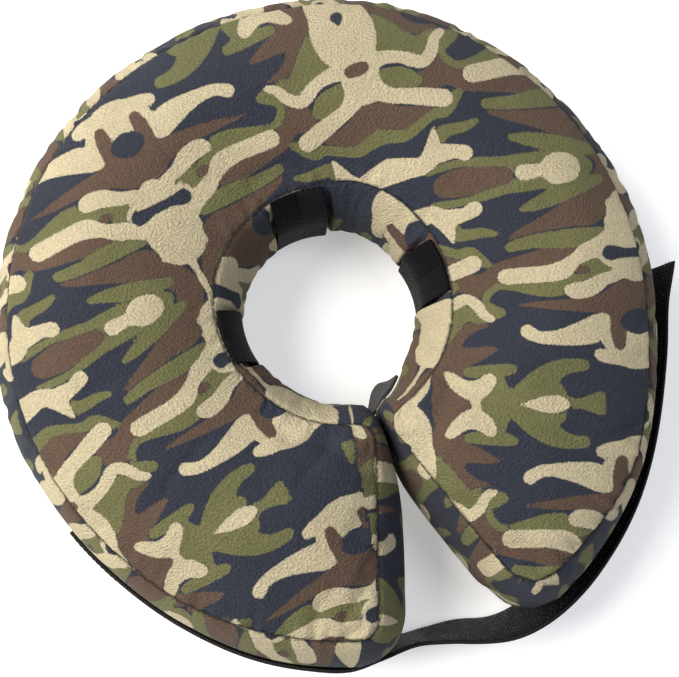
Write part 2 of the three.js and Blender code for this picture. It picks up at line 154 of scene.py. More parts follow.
class Finish:
    """A material and the nodes that make it."""

    def __init__(self, name):
        self.material = bpy.data.materials.new(name)
        self.material.use_nodes = True
        self.tree = self.material.node_tree
        self.shader = self.tree.nodes["Principled BSDF"]

    def node(self, kind, settings=None, inputs=None, output=0):
        made = self.tree.nodes.new(kind)
        for name, value in (settings or {}).items():
            setattr(made, name, value)
        self.plug(made, inputs or {})
        return Wire(self, made.outputs[output])

    def plug(self, made, inputs):
        for name, value in inputs.items():
            if isinstance(value, Wire):
                self.tree.links.new(value.socket, made.inputs[name])
            else:
                made.inputs[name].default_value = value

    def blend(self, share, under, over, how="MIX"):
        """Lays one colour over another, by share."""
        return self.node("ShaderNodeMix", {"data_type": "RGBA", "blend_type": how},
                         {SHARE_SOCKET: share, UNDER_SOCKET: under, OVER_SOCKET: over},
                         output=COLOUR_OUTPUT)

    def speckle(self, place, scale, detail, roughness=0.5):
        return self.node("ShaderNodeTexNoise", {},
                         {"Vector": place, "Scale": scale, "Detail": detail,
                          "Roughness": roughness})

    def uneven(self, place, by, scale, detail, roughness=0.5):
        """Speckle that swings by half as much to both sides of nothing."""
        return (self.speckle(place, scale, detail, roughness) - 0.5) * by

    def stretched(self, place, scale, turn):
        return self.node("ShaderNodeMapping", {},
                         {"Vector": place, "Scale": scale, "Rotation": turn})

    def object_place(self):
        return self.node("ShaderNodeTexCoord", output="Object")

    def stored(self, attribute, output="Vector"):
        return self.node("ShaderNodeAttribute", {"attribute_name": attribute}, output=output)

    def parts_of(self, vector):
        split = self.tree.nodes.new("ShaderNodeSeparateXYZ")
        self.tree.links.new(vector.socket, split.inputs[0])
        return [Wire(self, socket) for socket in split.outputs]

    def relief(self, height, distance, strength):
        return self.node("ShaderNodeBump", {},
                         {"Height": height, "Distance": distance, "Strength": strength})


painted = Finish("pale_table")
painted.plug(painted.shader, {"Base Color": (0.8, 0.805, 0.81, 1), "Roughness": 0.9,
                              "Emission Color": (1, 1, 1, 1), "Emission Strength": 0.36})
table_top.materials.append(painted.material)

# Cover: six panels of short-pile camouflage plush, sewn edge to edge over an air bladder and
# blown up tight. Panels swell between their seams, pucker along them, and rest flat underneath.
RING_CENTRE = np.array([-7.917, 6.753, 40.0])
OUTER_RADIUS, NECK_RADIUS = 159.0, 42.5
SEAM_HALF_HEIGHT, WALL_BULGE, CROWN_RISE, REST_FLAT = 30.0, 12.5, 13.0, 3.0
GAP_AT_NECK, GAP_AT_MOUTH = 2.0, 66.0
NECK_CORNER, LEFT_MOUTH_CORNER, RIGHT_MOUTH_CORNER = 11.0, 9.0, 15.0
LEFT_END_BULGE, RIGHT_END_BULGE, RIGHT_CORNER_BULGE = 14.0, 8.0, 8.0
RIGHT_CORNER_FADE, SEAM_CROWDING = 22.0, 0.5
CONTACT_X, CONTACT_GAP, CONTACT_SOFTNESS = 2.5, 1.0, 3.0
LOOP_BEARINGS = {"left_loop": 90, "back_loop": 180, "right_loop": 270}
LOOP_DENT, LOOP_DENT_HALF_WIDTH, LOOP_DENT_FADE = 5.6, 11.6, 3.0
WALL_ARC = 2 * math.atan(WALL_BULGE / SEAM_HALF_HEIGHT)
ARC_RADIUS = SEAM_HALF_HEIGHT / math.sin(WALL_ARC)
# Bearings run clockwise from the middle of the gap, seen from above. Radii are shares.
outline_bearing = [0, 15, 30, 45, 60, 90, 120, 150, 180, 210, 240, 270, 300, 330, 345]
outline_outer = [1.03, 1.032, 1.022, 1.0, 0.986, 0.986, 0.985, 0.999, 1.002, 1.014, 1.0, 0.993,
                 0.984, 1.048, 1.062]
outline_neck = [1.05, 1.045, 1.03, 1.0, 0.985, 0.995, 1.01, 1.005, 1.01, 1.075, 1.035, 0.98,
                0.975, 1.0, 1.03]
# Where the strap pulls the walls in low down, the top seam rolls out over them. It grows over some
# degrees from the start, and fades over some before the end.
seam_rolls = [dict(out=4.0, start=22, grow=30, end=160, fade=45),
              dict(out=5.0, start=268, grow=45, end=338, fade=22)]


def smooth(share):
    t = np.clip(share, 0, 1)
    return t * t * (3 - 2 * t)


def unit(values):
    return values / np.linalg.norm(values, axis=-1)[..., None]


def run_along(points):
    """How far each point of a line lies from its start."""
    return np.r_[0, np.cumsum(np.linalg.norm(np.diff(points, axis=0), axis=1))]


def finer(values, old, new):
    """Values at old places along the first axis, drawn out smoothly to new places."""
    i = np.clip(np.searchsorted(old, new, side="right") - 1, 0, len(old) - 2)
    low, high = np.maximum(i - 1, 0), np.minimum(i + 2, len(old) - 1)
    span = old[i + 1] - old[i]

    def down(column):
        return column.reshape((-1,) + (1,) * (values.ndim - 1))

    start_slope = (values[i + 1] - values[low]) * down(span / (old[i + 1] - old[low]))
    end_slope = (values[high] - values[i]) * down(span / (old[high] - old[i]))
    t = down((new - old[i]) / span)
    return (values[i] * (2 * t**3 - 3 * t**2 + 1) + values[i + 1] * (3 * t**2 - 2 * t**3)
            + start_slope * (t**3 - 2 * t**2 + t) + end_slope * (t**3 - t**2))


def finer_grid(grid, old, new, old_across, new_across):
    grid = finer(grid, old, new)
    return finer(grid.transpose(1, 0, 2), old_across, new_across).transpose(1, 0, 2)


def along(bearings, values, at, turns=False):
    """A smooth curve through values at bearings. One that turns goes all the way round."""
    b, v = np.array(bearings, float), np.array(values, float)
    at = np.asarray(at, float)
    if turns:
        b, v = np.r_[b[-2:] - 360, b, b[:2] + 360], np.r_[v[-2:], v, v[:2]]
        at = np.mod(at, 360)
    if b[0] > b[-1]:
        b, v = b[::-1], v[::-1]
    return finer(v, b, np.clip(at, b[0], b[-1]).ravel()).reshape(at.shape)


def outer_crest(bearing):
    return OUTER_RADIUS * along(outline_bearing, outline_outer, bearing, turns=True)


def neck_crest(bearing):
    return NECK_RADIUS * along(outline_bearing, outline_neck, bearing, turns=True)


def outer_seam(bearing):
    return outer_crest(bearing) - WALL_BULGE


def neck_seam(bearing):
    return neck_crest(bearing) + WALL_BULGE


def outward(bearing):
    turn = np.radians(bearing)
    return np.stack([-np.sin(turn), -np.cos(turn)], axis=-1)


def round_ring(bearing, out, up):
    """Places or directions in rows, one row at each bearing: how far out and how far up."""
    out, up, _ = np.broadcast_arrays(out, up, bearing[:, None])
    return np.concatenate([outward(bearing)[:, None] * out[..., None], up[..., None]], -1)


def wall_fullness(levels):
    """How much of its bulge a wall has, at levels from -1 at its lower seam to 1 at the upper."""
    return (np.cos(WALL_ARC * levels) - math.cos(WALL_ARC)) / (1 - math.cos(WALL_ARC))


def wall_height(levels):
    return SEAM_HALF_HEIGHT * np.sin(WALL_ARC * levels) / math.sin(WALL_ARC)


END_WIDTH = float(outer_seam(0) - neck_seam(0))


def corner_retreat(from_edge, radius):
    inside = np.clip(radius - from_edge, 0, radius)
    return radius - np.sqrt(radius**2 - inside**2)


def end_bearing(across, mouth_corner):
    radius = float(neck_seam(0)) + across * END_WIDTH
    half_gap = (GAP_AT_NECK + (GAP_AT_MOUTH - GAP_AT_NECK) * across) / 2
    retreat = (corner_retreat(across * END_WIDTH, NECK_CORNER)
               + corner_retreat((1 - across) * END_WIDTH, mouth_corner))
    return np.degrees(np.arcsin(half_gap / radius) + retreat / radius)


def seam_bearing(around, across):
    left = end_bearing(across, LEFT_MOUTH_CORNER)
    right = 360 - end_bearing(across, RIGHT_MOUTH_CORNER)
    return left + (right - left) * around


def seam_plane(around, across):
    """A place in the seams' plane: around from the left arm's end to the right arm's, across
    from the neck to the outside."""
    bearing = seam_bearing(around, across)
    radius = neck_seam(bearing) + across * (outer_seam(bearing) - neck_seam(bearing))
    return outward(bearing) * radius[..., None]


def crown_height(around, across):
    length = (math.radians(360 - 2 * float(end_bearing(np.array(0.5), LEFT_MOUTH_CORNER)))
              * (OUTER_RADIUS + NECK_RADIUS) / 2)
    from_end = np.minimum(around, 1 - around) * length
    end_share = 1 - (1 - np.minimum(1, from_end / (END_WIDTH / 2))) ** 2
    return CROWN_RISE * 4 * across * (1 - across) * end_share


def beside_loop(bearing, loop_bearing):
    """How far along the neck wall a bearing lies from a loop's middle."""
    return np.radians((bearing - loop_bearing + 540) % 360 - 180) * NECK_RADIUS


def neck_bulge(bearing):
    """The neck wall is pressed back behind each loop, and slack beside the right arm's end."""
    dent = 0
    for loop_bearing in LOOP_BEARINGS.values():
        aside = np.abs(beside_loop(bearing, loop_bearing))
        dent = dent + 1 - smooth((aside - LOOP_DENT_HALF_WIDTH) / LOOP_DENT_FADE)
    end = 360 - float(end_bearing(np.array(0.0), RIGHT_MOUTH_CORNER))
    from_end = np.radians(end - bearing) * NECK_RADIUS
    fade = smooth(from_end / RIGHT_CORNER_FADE)
    return RIGHT_CORNER_BULGE + (WALL_BULGE - RIGHT_CORNER_BULGE) * fade - LOOP_DENT * dent


def seam_roll(bearing):
    return sum(roll["out"] * smooth((bearing - roll["start"]) / roll["grow"])
               * smooth((roll["end"] - bearing) / roll["fade"]) for roll in seam_rolls)


def end_bulge(neck_side, fullest, across):
    in_from_sides = np.minimum(across, 1 - across) * END_WIDTH
    corner = np.where(across < 0.5, neck_side, WALL_BULGE)
    return corner + (fullest - corner) * smooth(in_from_sides / NECK_CORNER)


def spread(count):
    """Shares from 0 to 1 that lie closer together at both ends, where the seams are."""
    even = np.arange(count + 1) / count
    return (1 - SEAM_CROWDING) * even + SEAM_CROWDING * (1 - np.cos(np.pi * even)) / 2


def cover_shape(columns, across_rows, wall_rows):
    """The closed cover as patches of places: top, underside, and one band of wall that runs
    neck, right end, outside and left end."""
    round_shares, across_shares = np.arange(columns + 1) / columns, spread(across_rows)
    levels = spread(wall_rows) * 2 - 1
    around, across = np.meshgrid(round_shares, across_shares, indexing="ij")
    plane = seam_plane(around, across)
    rise = crown_height(around, across)
    turn = seam_bearing(around, across)
    rolled = outward(turn) * (seam_roll(turn) * across**3)[..., None]
    top = np.dstack([plane + rolled, SEAM_HALF_HEIGHT + rise])
    flat = SEAM_HALF_HEIGHT + CROWN_RISE - REST_FLAT
    under = np.dstack([plane, -np.minimum(SEAM_HALF_HEIGHT + rise, flat)])
    ring = np.concatenate([
        np.stack([round_shares, np.zeros(columns + 1)], 1)[:-1],
        np.stack([np.ones(across_rows + 1), across_shares], 1)[:-1],
        np.stack([round_shares[::-1], np.ones(columns + 1)], 1)[:-1],
        np.stack([np.zeros(across_rows + 1), across_shares[::-1]], 1)[:-1]])
    seam = seam_plane(ring[:, 0], ring[:, 1])
    bearing = seam_bearing(ring[:, 0], ring[:, 1])
    heading = unit(np.roll(seam, -1, 0) - seam)
    heading = unit(heading + np.roll(heading, 1, 0))
    face = np.stack([heading[:, 1], -heading[:, 0]], 1)
    side = np.repeat(["neck", "right", "outside", "left"],
                     [columns, across_rows, columns, across_rows])
    bulge = np.select(
        [side == "neck", side == "right", side == "left"],
        [neck_bulge(bearing), end_bulge(RIGHT_CORNER_BULGE, RIGHT_END_BULGE, ring[:, 1]),
         end_bulge(WALL_BULGE, LEFT_END_BULGE, ring[:, 1])], WALL_BULGE)
    if np.sum(face[side == "outside"] * seam[side == "outside"]) < 0:
        face = -face
    full = wall_fullness(levels)[None, :, None]
    wall = seam[:, None] + face[:, None] * bulge[:, None, None] * full
    rolled = outward(bearing) * (seam_roll(bearing) * (side == "outside"))[:, None]
    wall = wall + rolled[:, None] * smooth(levels)[None, :, None]
    sign = np.where(seam[:, 0] < CONTACT_X, 1.0, -1.0)[:, None]
    limit = sign * CONTACT_X - CONTACT_GAP / 2
    x = sign * wall[..., 0]
    pressed = limit - CONTACT_SOFTNESS * np.log1p(np.exp((limit - x) / CONTACT_SOFTNESS))
    held = sign * np.maximum(pressed, np.minimum(x, sign * seam[:, :1]))
    touching = (wall[..., 1] < 0) & (side != "outside")[:, None]
    wall[..., 0] = np.where(touching, held, wall[..., 0])
    wall = np.dstack([wall, np.broadcast_to(wall_height(levels), wall.shape[:2])])
    return {"top": top, "under": under, "wall": wall, "side": side, "ring": ring,
            "bearing": bearing, "face": face, "levels": levels, "around": around,
            "across": across}


def ring_of(patch):
    """The edge of a top or under patch, in the order of the wall's band."""
    return np.concatenate([patch[:-1, 0], patch[-1, :-1], patch[:0:-1, -1], patch[0, :0:-1]])


def quads_of(numbers, closed=False):
    rows = np.concatenate([numbers, numbers[:1]]) if closed else numbers
    return np.stack([rows[:-1, :-1], rows[1:, :-1], rows[1:, 1:], rows[:-1, 1:]], -1).reshape(-1, 4)


def cover_quads(shape):
    """Corner numbers of the cover's faces, into its samples (top, under, then wall), and which
    vertex each sample is."""
    n, m = shape["top"].shape[:2]
    top = np.arange(n * m).reshape(n, m)
    under = top + n * m
    wall = np.arange(shape["wall"][..., 0].size).reshape(shape["wall"].shape[:2]) + 2 * n * m
    vertex = np.arange(wall.max() + 1)
    vertex[wall[:, -1]] = ring_of(top)
    vertex[wall[:, 0]] = ring_of(under)
    faces = np.concatenate([quads_of(top), quads_of(under)[:, ::-1], quads_of(wall, closed=True)])
    return faces, vertex


def samples_of(shape):
    return np.concatenate([shape[part].reshape(-1, 3) for part in ("top", "under", "wall")])


def cover_object(name, shape):
    """A mesh of the cover's samples, welded along the seams."""
    faces, vertex = cover_quads(shape)
    used, numbers = np.unique(vertex, return_inverse=True)
    mesh = mesh_of(name, samples_of(shape)[used] + RING_CENTRE, numbers[faces].tolist())
    return placed(name, mesh), faces, numbers


def places_of(mesh):
    return vectors_of(mesh.vertices, "co").astype(float)


COLUMNS, ACROSS_ROWS, WALL_ROWS = 480, 46, 34
COARSE_COLUMNS, COARSE_ACROSS_ROWS, COARSE_WALL_ROWS = 216, 22, 14
AIR_PRESSURE, SPARE_CLOTH, AIR_FRAMES, MOST_SWELL = 4.0, 0.03, 20, 1.5
# Under the strap and the strip the outer wall is held in. In degrees: middle, half width, fade.
wall_holds = [dict(middle=47, half=39, fade=12), dict(middle=318, half=36, fade=36)]
NECK_AND_END_SWELL = 0.45
TAB_HOLDS_TO, TAB_HOLDS_FROM = 30, 325


def swollen(coarse):
    """How far each sample of a coarse cover moves when air presses its panels out between the
    seams. The panels are cut a little larger than the frame they are sewn into."""
    made, _, numbers = cover_object("swelling", coarse)
    n, m = coarse["top"].shape[:2]
    top = np.arange(n * m).reshape(n, m)
    held = np.unique(numbers[np.concatenate([ring_of(top), ring_of(top) + n * m])])
    made.vertex_groups.new(name="seams").add(held.tolist(), 1.0, "REPLACE")
    air = made.modifiers.new("air", "CLOTH").settings
    air.quality, air.mass = 6, 0.3
    air.tension_stiffness = air.compression_stiffness = 15
    air.shear_stiffness, air.bending_stiffness = 5, 0.4
    air.vertex_group_mass = "seams"
    air.use_pressure, air.uniform_pressure_force = True, AIR_PRESSURE
    air.shrink_min = -SPARE_CLOTH
    air.effector_weights.gravity = 0
    for number in range(1, AIR_FRAMES + 1):
        bpy.context.scene.frame_set(number)
    seen = made.evaluated_get(bpy.context.evaluated_depsgraph_get())
    moved = (places_of(seen.data) - places_of(made.data)) / TO_METRES
    bpy.data.objects.remove(made)
    bpy.context.scene.frame_set(1)
    far = np.linalg.norm(moved, axis=1)[:, None]
    moved *= MOST_SWELL * np.tanh(far / MOST_SWELL) / np.maximum(far, 1e-6)
    return moved[numbers]


cover = cover_shape(COLUMNS, ACROSS_ROWS, WALL_ROWS)
coarse = cover_shape(COARSE_COLUMNS, COARSE_ACROSS_ROWS, COARSE_WALL_ROWS)
swell = swollen(coarse)
count = coarse["top"][..., 0].size
shares = np.arange(COARSE_COLUMNS + 1) / COARSE_COLUMNS
new_shares = np.arange(COLUMNS + 1) / COLUMNS
across_shares, new_across = spread(COARSE_ACROSS_ROWS), spread(ACROSS_ROWS)
for part, first in (("top", 0), ("under", count)):
    grid = swell[first:first + count].reshape(coarse["top"].shape)
    cover[part] = cover[part] + finer_grid(grid, shares, new_shares, across_shares, new_across)
grid = swell[2 * count:].reshape(coarse["wall"].shape)
grid = np.concatenate([grid, grid[:1]])
old_run = np.concatenate([shares[:-1], 1 + across_shares[:-1], 2 + shares[:-1],
                          3 + across_shares])
new_run = np.concatenate([new_shares[:-1], 1 + new_across[:-1], 2 + new_shares[:-1],
                          3 + new_across[:-1]])
grid = finer_grid(grid, old_run, new_run, coarse["levels"], cover["levels"])
bearing, side = cover["bearing"], cover["side"]
held = sum(smooth((hold["half"] - np.abs(bearing - hold["middle"])) / hold["fade"])
           for hold in wall_holds)
free = np.where(side == "outside", 1 - np.clip(held, 0, 1), NECK_AND_END_SWELL)
tabbed = (side == "neck") & ((bearing < TAB_HOLDS_TO) | (bearing > TAB_HOLDS_FROM))
free = np.where(tabbed, 0.0, free)
cover["wall"] = cover["wall"] + grid * free[:, None, None]

# Seams lie in a fine valley, and the cloth is gathered into them: most at the mouths of the arms.
gather_bearing = [0, 15, 35, 60, 100, 180, 260, 300, 325, 345, 360]
gather_below = [1.0, 0.95, 0.75, 0.45, 0.25, 0.15, 0.15, 0.25, 0.8, 1.0, 1.0]
VALLEY_DEPTH, VALLEY_HALF_WIDTH, DEEPEST_FOLD = 0.9, 1.5, 1.7
GATHER_HEIGHT, GATHER_START, GATHER_REACH = 2.42, 1.1, 6.5
NECK_GATHER, END_GATHER, WALL_GATHER, TOP_OF_WALL_GATHER = 0.35, 0.6, 0.5, 0.5
TOP_SLACK, UNDER_SLACK = 1.3, 1.0
NECK_SEAM_RADIUS = NECK_RADIUS + WALL_BULGE
# The folds of a seam keep their number on both sides of it. The underside's is one higher.
OUTER_FOLDS, NECK_FOLDS, LEFT_FOLDS, RIGHT_FOLDS = 11, 21, 31, 41
ripple_lengths = np.array([5.6, 7.1, 9.4, 13.7, 21.0])
ripple_shares = np.array([0.7, 1.0, 0.9, 0.7, 0.5])


def ripple(run, seam_number):
    """An uneven row of small folds along a seam."""
    phases = np.random.default_rng(seam_number).uniform(0, 2 * math.pi, len(ripple_lengths))
    waves = np.sin(2 * math.pi * np.asarray(run)[..., None] / ripple_lengths + phases)
    return (waves * ripple_shares).sum(-1) / ripple_shares.sum()


def beside_seam(distance, run, strength, seam_number):
    """How far the cloth beside a seam stands up, by how far it is from the seam and along it."""
    fold = ripple(run, seam_number) * GATHER_HEIGHT * strength
    grow = np.exp(-distance / GATHER_REACH) * (1 - np.exp(-distance / GATHER_START))
    valley = -VALLEY_DEPTH * np.exp(-(distance / VALLEY_HALF_WIDTH) ** 2)
    return fold * grow + valley


# Dents of the top panel beside the arms' corners and the loops: bearing, share across, which
# way they run in degrees, length, half width and depth. They bow a little.
dents = [
    dict(bearing=17, across=0.17, way=60, length=30, wide=4.0, deep=2.4),
    dict(bearing=28, across=0.10, way=100, length=26, wide=3.2, deep=1.92),
    dict(bearing=41, across=0.12, way=75, length=20, wide=4.0, deep=1.44),
    dict(bearing=340, across=0.15, way=-55, length=28, wide=4.5, deep=2.24),
    dict(bearing=328, across=0.10, way=-80, length=22, wide=3.5, deep=1.6),
    dict(bearing=9, across=0.62, way=-20, length=34, wide=5.0, deep=1.44),
    dict(bearing=352, across=0.70, way=25, length=30, wide=5.0, deep=1.44),
    dict(bearing=168, across=0.12, way=95, length=20, wide=4.0, deep=1.28),
    dict(bearing=196, across=0.12, way=85, length=20, wide=4.0, deep=1.28),
    dict(bearing=258, across=0.10, way=95, length=18, wide=4.0, deep=1.28),
]
DENT_BOW, DENT_RIM, DENT_RIM_REACH = 0.5, 0.45, 2.2
# The neck wall's furrows beside each loop: how far from its middle, depth and lean.
furrows = [dict(aside=20, deep=0.6, lean=2.0), dict(aside=26, deep=0.6, lean=-2.0),
           dict(aside=-21, deep=0.6, lean=-2.0), dict(aside=-27, deep=0.6, lean=3.0)]
FURROW_HALF_WIDTH, FURROW_RIM, FURROW_RIM_REACH, FURROW_FADE = 1.8, 0.4, 2.3, 0.7


def trough(crosswise, rim, rim_reach):
    """How deep a crease is, by how far a place lies to its side. Its rims stand up a little."""
    return np.exp(-crosswise**2) - rim * np.exp(-(crosswise / rim_reach) ** 2)


def dented(points):
    fallen = np.zeros(points.shape[:-1])
    for dent in dents:
        b = np.array(float(dent["bearing"]))
        radius = neck_seam(b) + dent["across"] * (outer_seam(b) - neck_seam(b))
        out = outward(b)
        middle = out * radius
        turn = math.radians(dent["way"])
        sideways = np.array([-out[1], out[0]])
        direction = math.cos(turn) * out + math.sin(turn) * sideways
        offset = points[..., :2] - middle
        lengthwise = offset @ direction / (dent["length"] / 2)
        crosswise = (offset[..., 0] * direction[1] - offset[..., 1] * direction[0]) / dent["wide"]
        bowed = crosswise + DENT_BOW * lengthwise**2
        depth = np.exp(-lengthwise**2) * trough(bowed, DENT_RIM, DENT_RIM_REACH)
        fallen = fallen - dent["deep"] * depth
    return fallen


def seam_distances(shape):
    """The bearing of each place of a flat panel, and how far it lies from the outer, neck, left
    and right seams."""
    across = shape["across"]
    bearing = seam_bearing(shape["around"], across)
    band = outer_seam(bearing) - neck_seam(bearing)
    radius = neck_seam(bearing) + across * band
    left = np.radians(bearing - end_bearing(across, LEFT_MOUTH_CORNER)) * radius
    right = np.radians(360 - end_bearing(across, RIGHT_MOUTH_CORNER) - bearing) * radius
    return bearing, (1 - across) * band, across * band, left, right


def flat_panel_relief(shape, panel, slack):
    """panel is 0 for the top and 1 for the underside."""
    bearing, outer, neck, left, right = seam_distances(shape)
    turn = np.radians(bearing)
    gather = along(gather_bearing, gather_below, bearing) * slack
    relief = beside_seam(outer, turn * OUTER_RADIUS, gather, OUTER_FOLDS + panel)
    relief += beside_seam(neck, turn * NECK_SEAM_RADIUS, NECK_GATHER * slack, NECK_FOLDS + panel)
    relief += beside_seam(left, neck, END_GATHER * slack, LEFT_FOLDS + panel)
    relief += beside_seam(right, neck, END_GATHER * slack, RIGHT_FOLDS + panel)
    return np.maximum(relief, -DEEPEST_FOLD)


# Tape keeps the outer wall from standing up: middle and half width in degrees, then in levels.
tape_belts = [dict(middle=46, half=26), dict(middle=320, half=25)]
BELT_LEVEL, BELT_HALF_HEIGHT = -0.42, 0.52


def wall_relief(shape):
    bearing, levels = shape["bearing"], shape["levels"]
    side = shape["side"][:, None]
    below = (levels + 1) * ARC_RADIUS * WALL_ARC
    above = (1 - levels) * ARC_RADIUS * WALL_ARC
    gather = along(gather_bearing, gather_below, bearing)[:, None]
    run = np.radians(bearing)[:, None] * np.where(side == "outside", OUTER_RADIUS, NECK_SEAM_RADIUS)
    run = np.where((side == "left") | (side == "right"), shape["ring"][:, 1:] * END_WIDTH, run)
    strength = np.where(side == "outside", gather, WALL_GATHER)
    relief = beside_seam(below[None, :], run, strength, OUTER_FOLDS + 1)
    relief += beside_seam(above[None, :], run, strength * TOP_OF_WALL_GATHER, OUTER_FOLDS)
    for loop_bearing in LOOP_BEARINGS.values():
        aside = beside_loop(bearing, loop_bearing)[:, None]
        for furrow in furrows:
            crosswise = (aside - furrow["aside"] - furrow["lean"] * levels) / FURROW_HALF_WIDTH
            depth = furrow["deep"] * trough(crosswise, FURROW_RIM, FURROW_RIM_REACH)
            relief -= np.where(side == "neck", depth * (1 - FURROW_FADE * levels**2), 0)
    taped = sum(np.abs(bearing - belt["middle"]) < belt["half"] for belt in tape_belts)[:, None]
    belted = np.abs(levels - BELT_LEVEL) < BELT_HALF_HEIGHT
    held = (side == "outside") & (taped > 0) & belted[None, :]
    return np.where(held, np.minimum(relief, 0), relief)


def wall_seam_distance(shape):
    up = np.minimum(shape["levels"] + 1, 1 - shape["levels"]) * ARC_RADIUS * WALL_ARC
    return np.broadcast_to(up, shape["wall"].shape[:2])


collar_cover, faces, numbers = cover_object("collar_cover", cover)
cover_mesh = collar_cover.data
reliefs = np.concatenate([
    (flat_panel_relief(cover, 0, TOP_SLACK) + dented(cover["top"])).ravel(),
    flat_panel_relief(cover, 1, UNDER_SLACK).ravel(), wall_relief(cover).ravel()])
relief_at = np.zeros(len(cover_mesh.vertices))
relief_at[numbers] = reliefs
facing = vectors_of(cover_mesh.vertex_normals, "vector")
standing = places_of(cover_mesh) + facing * relief_at[:, None] * TO_METRES
standing[:, 2] = np.maximum(standing[:, 2], 0)
cover_mesh.vertices.foreach_set("co", standing.astype(np.float32).ravel())
cover_mesh.shade_smooth()

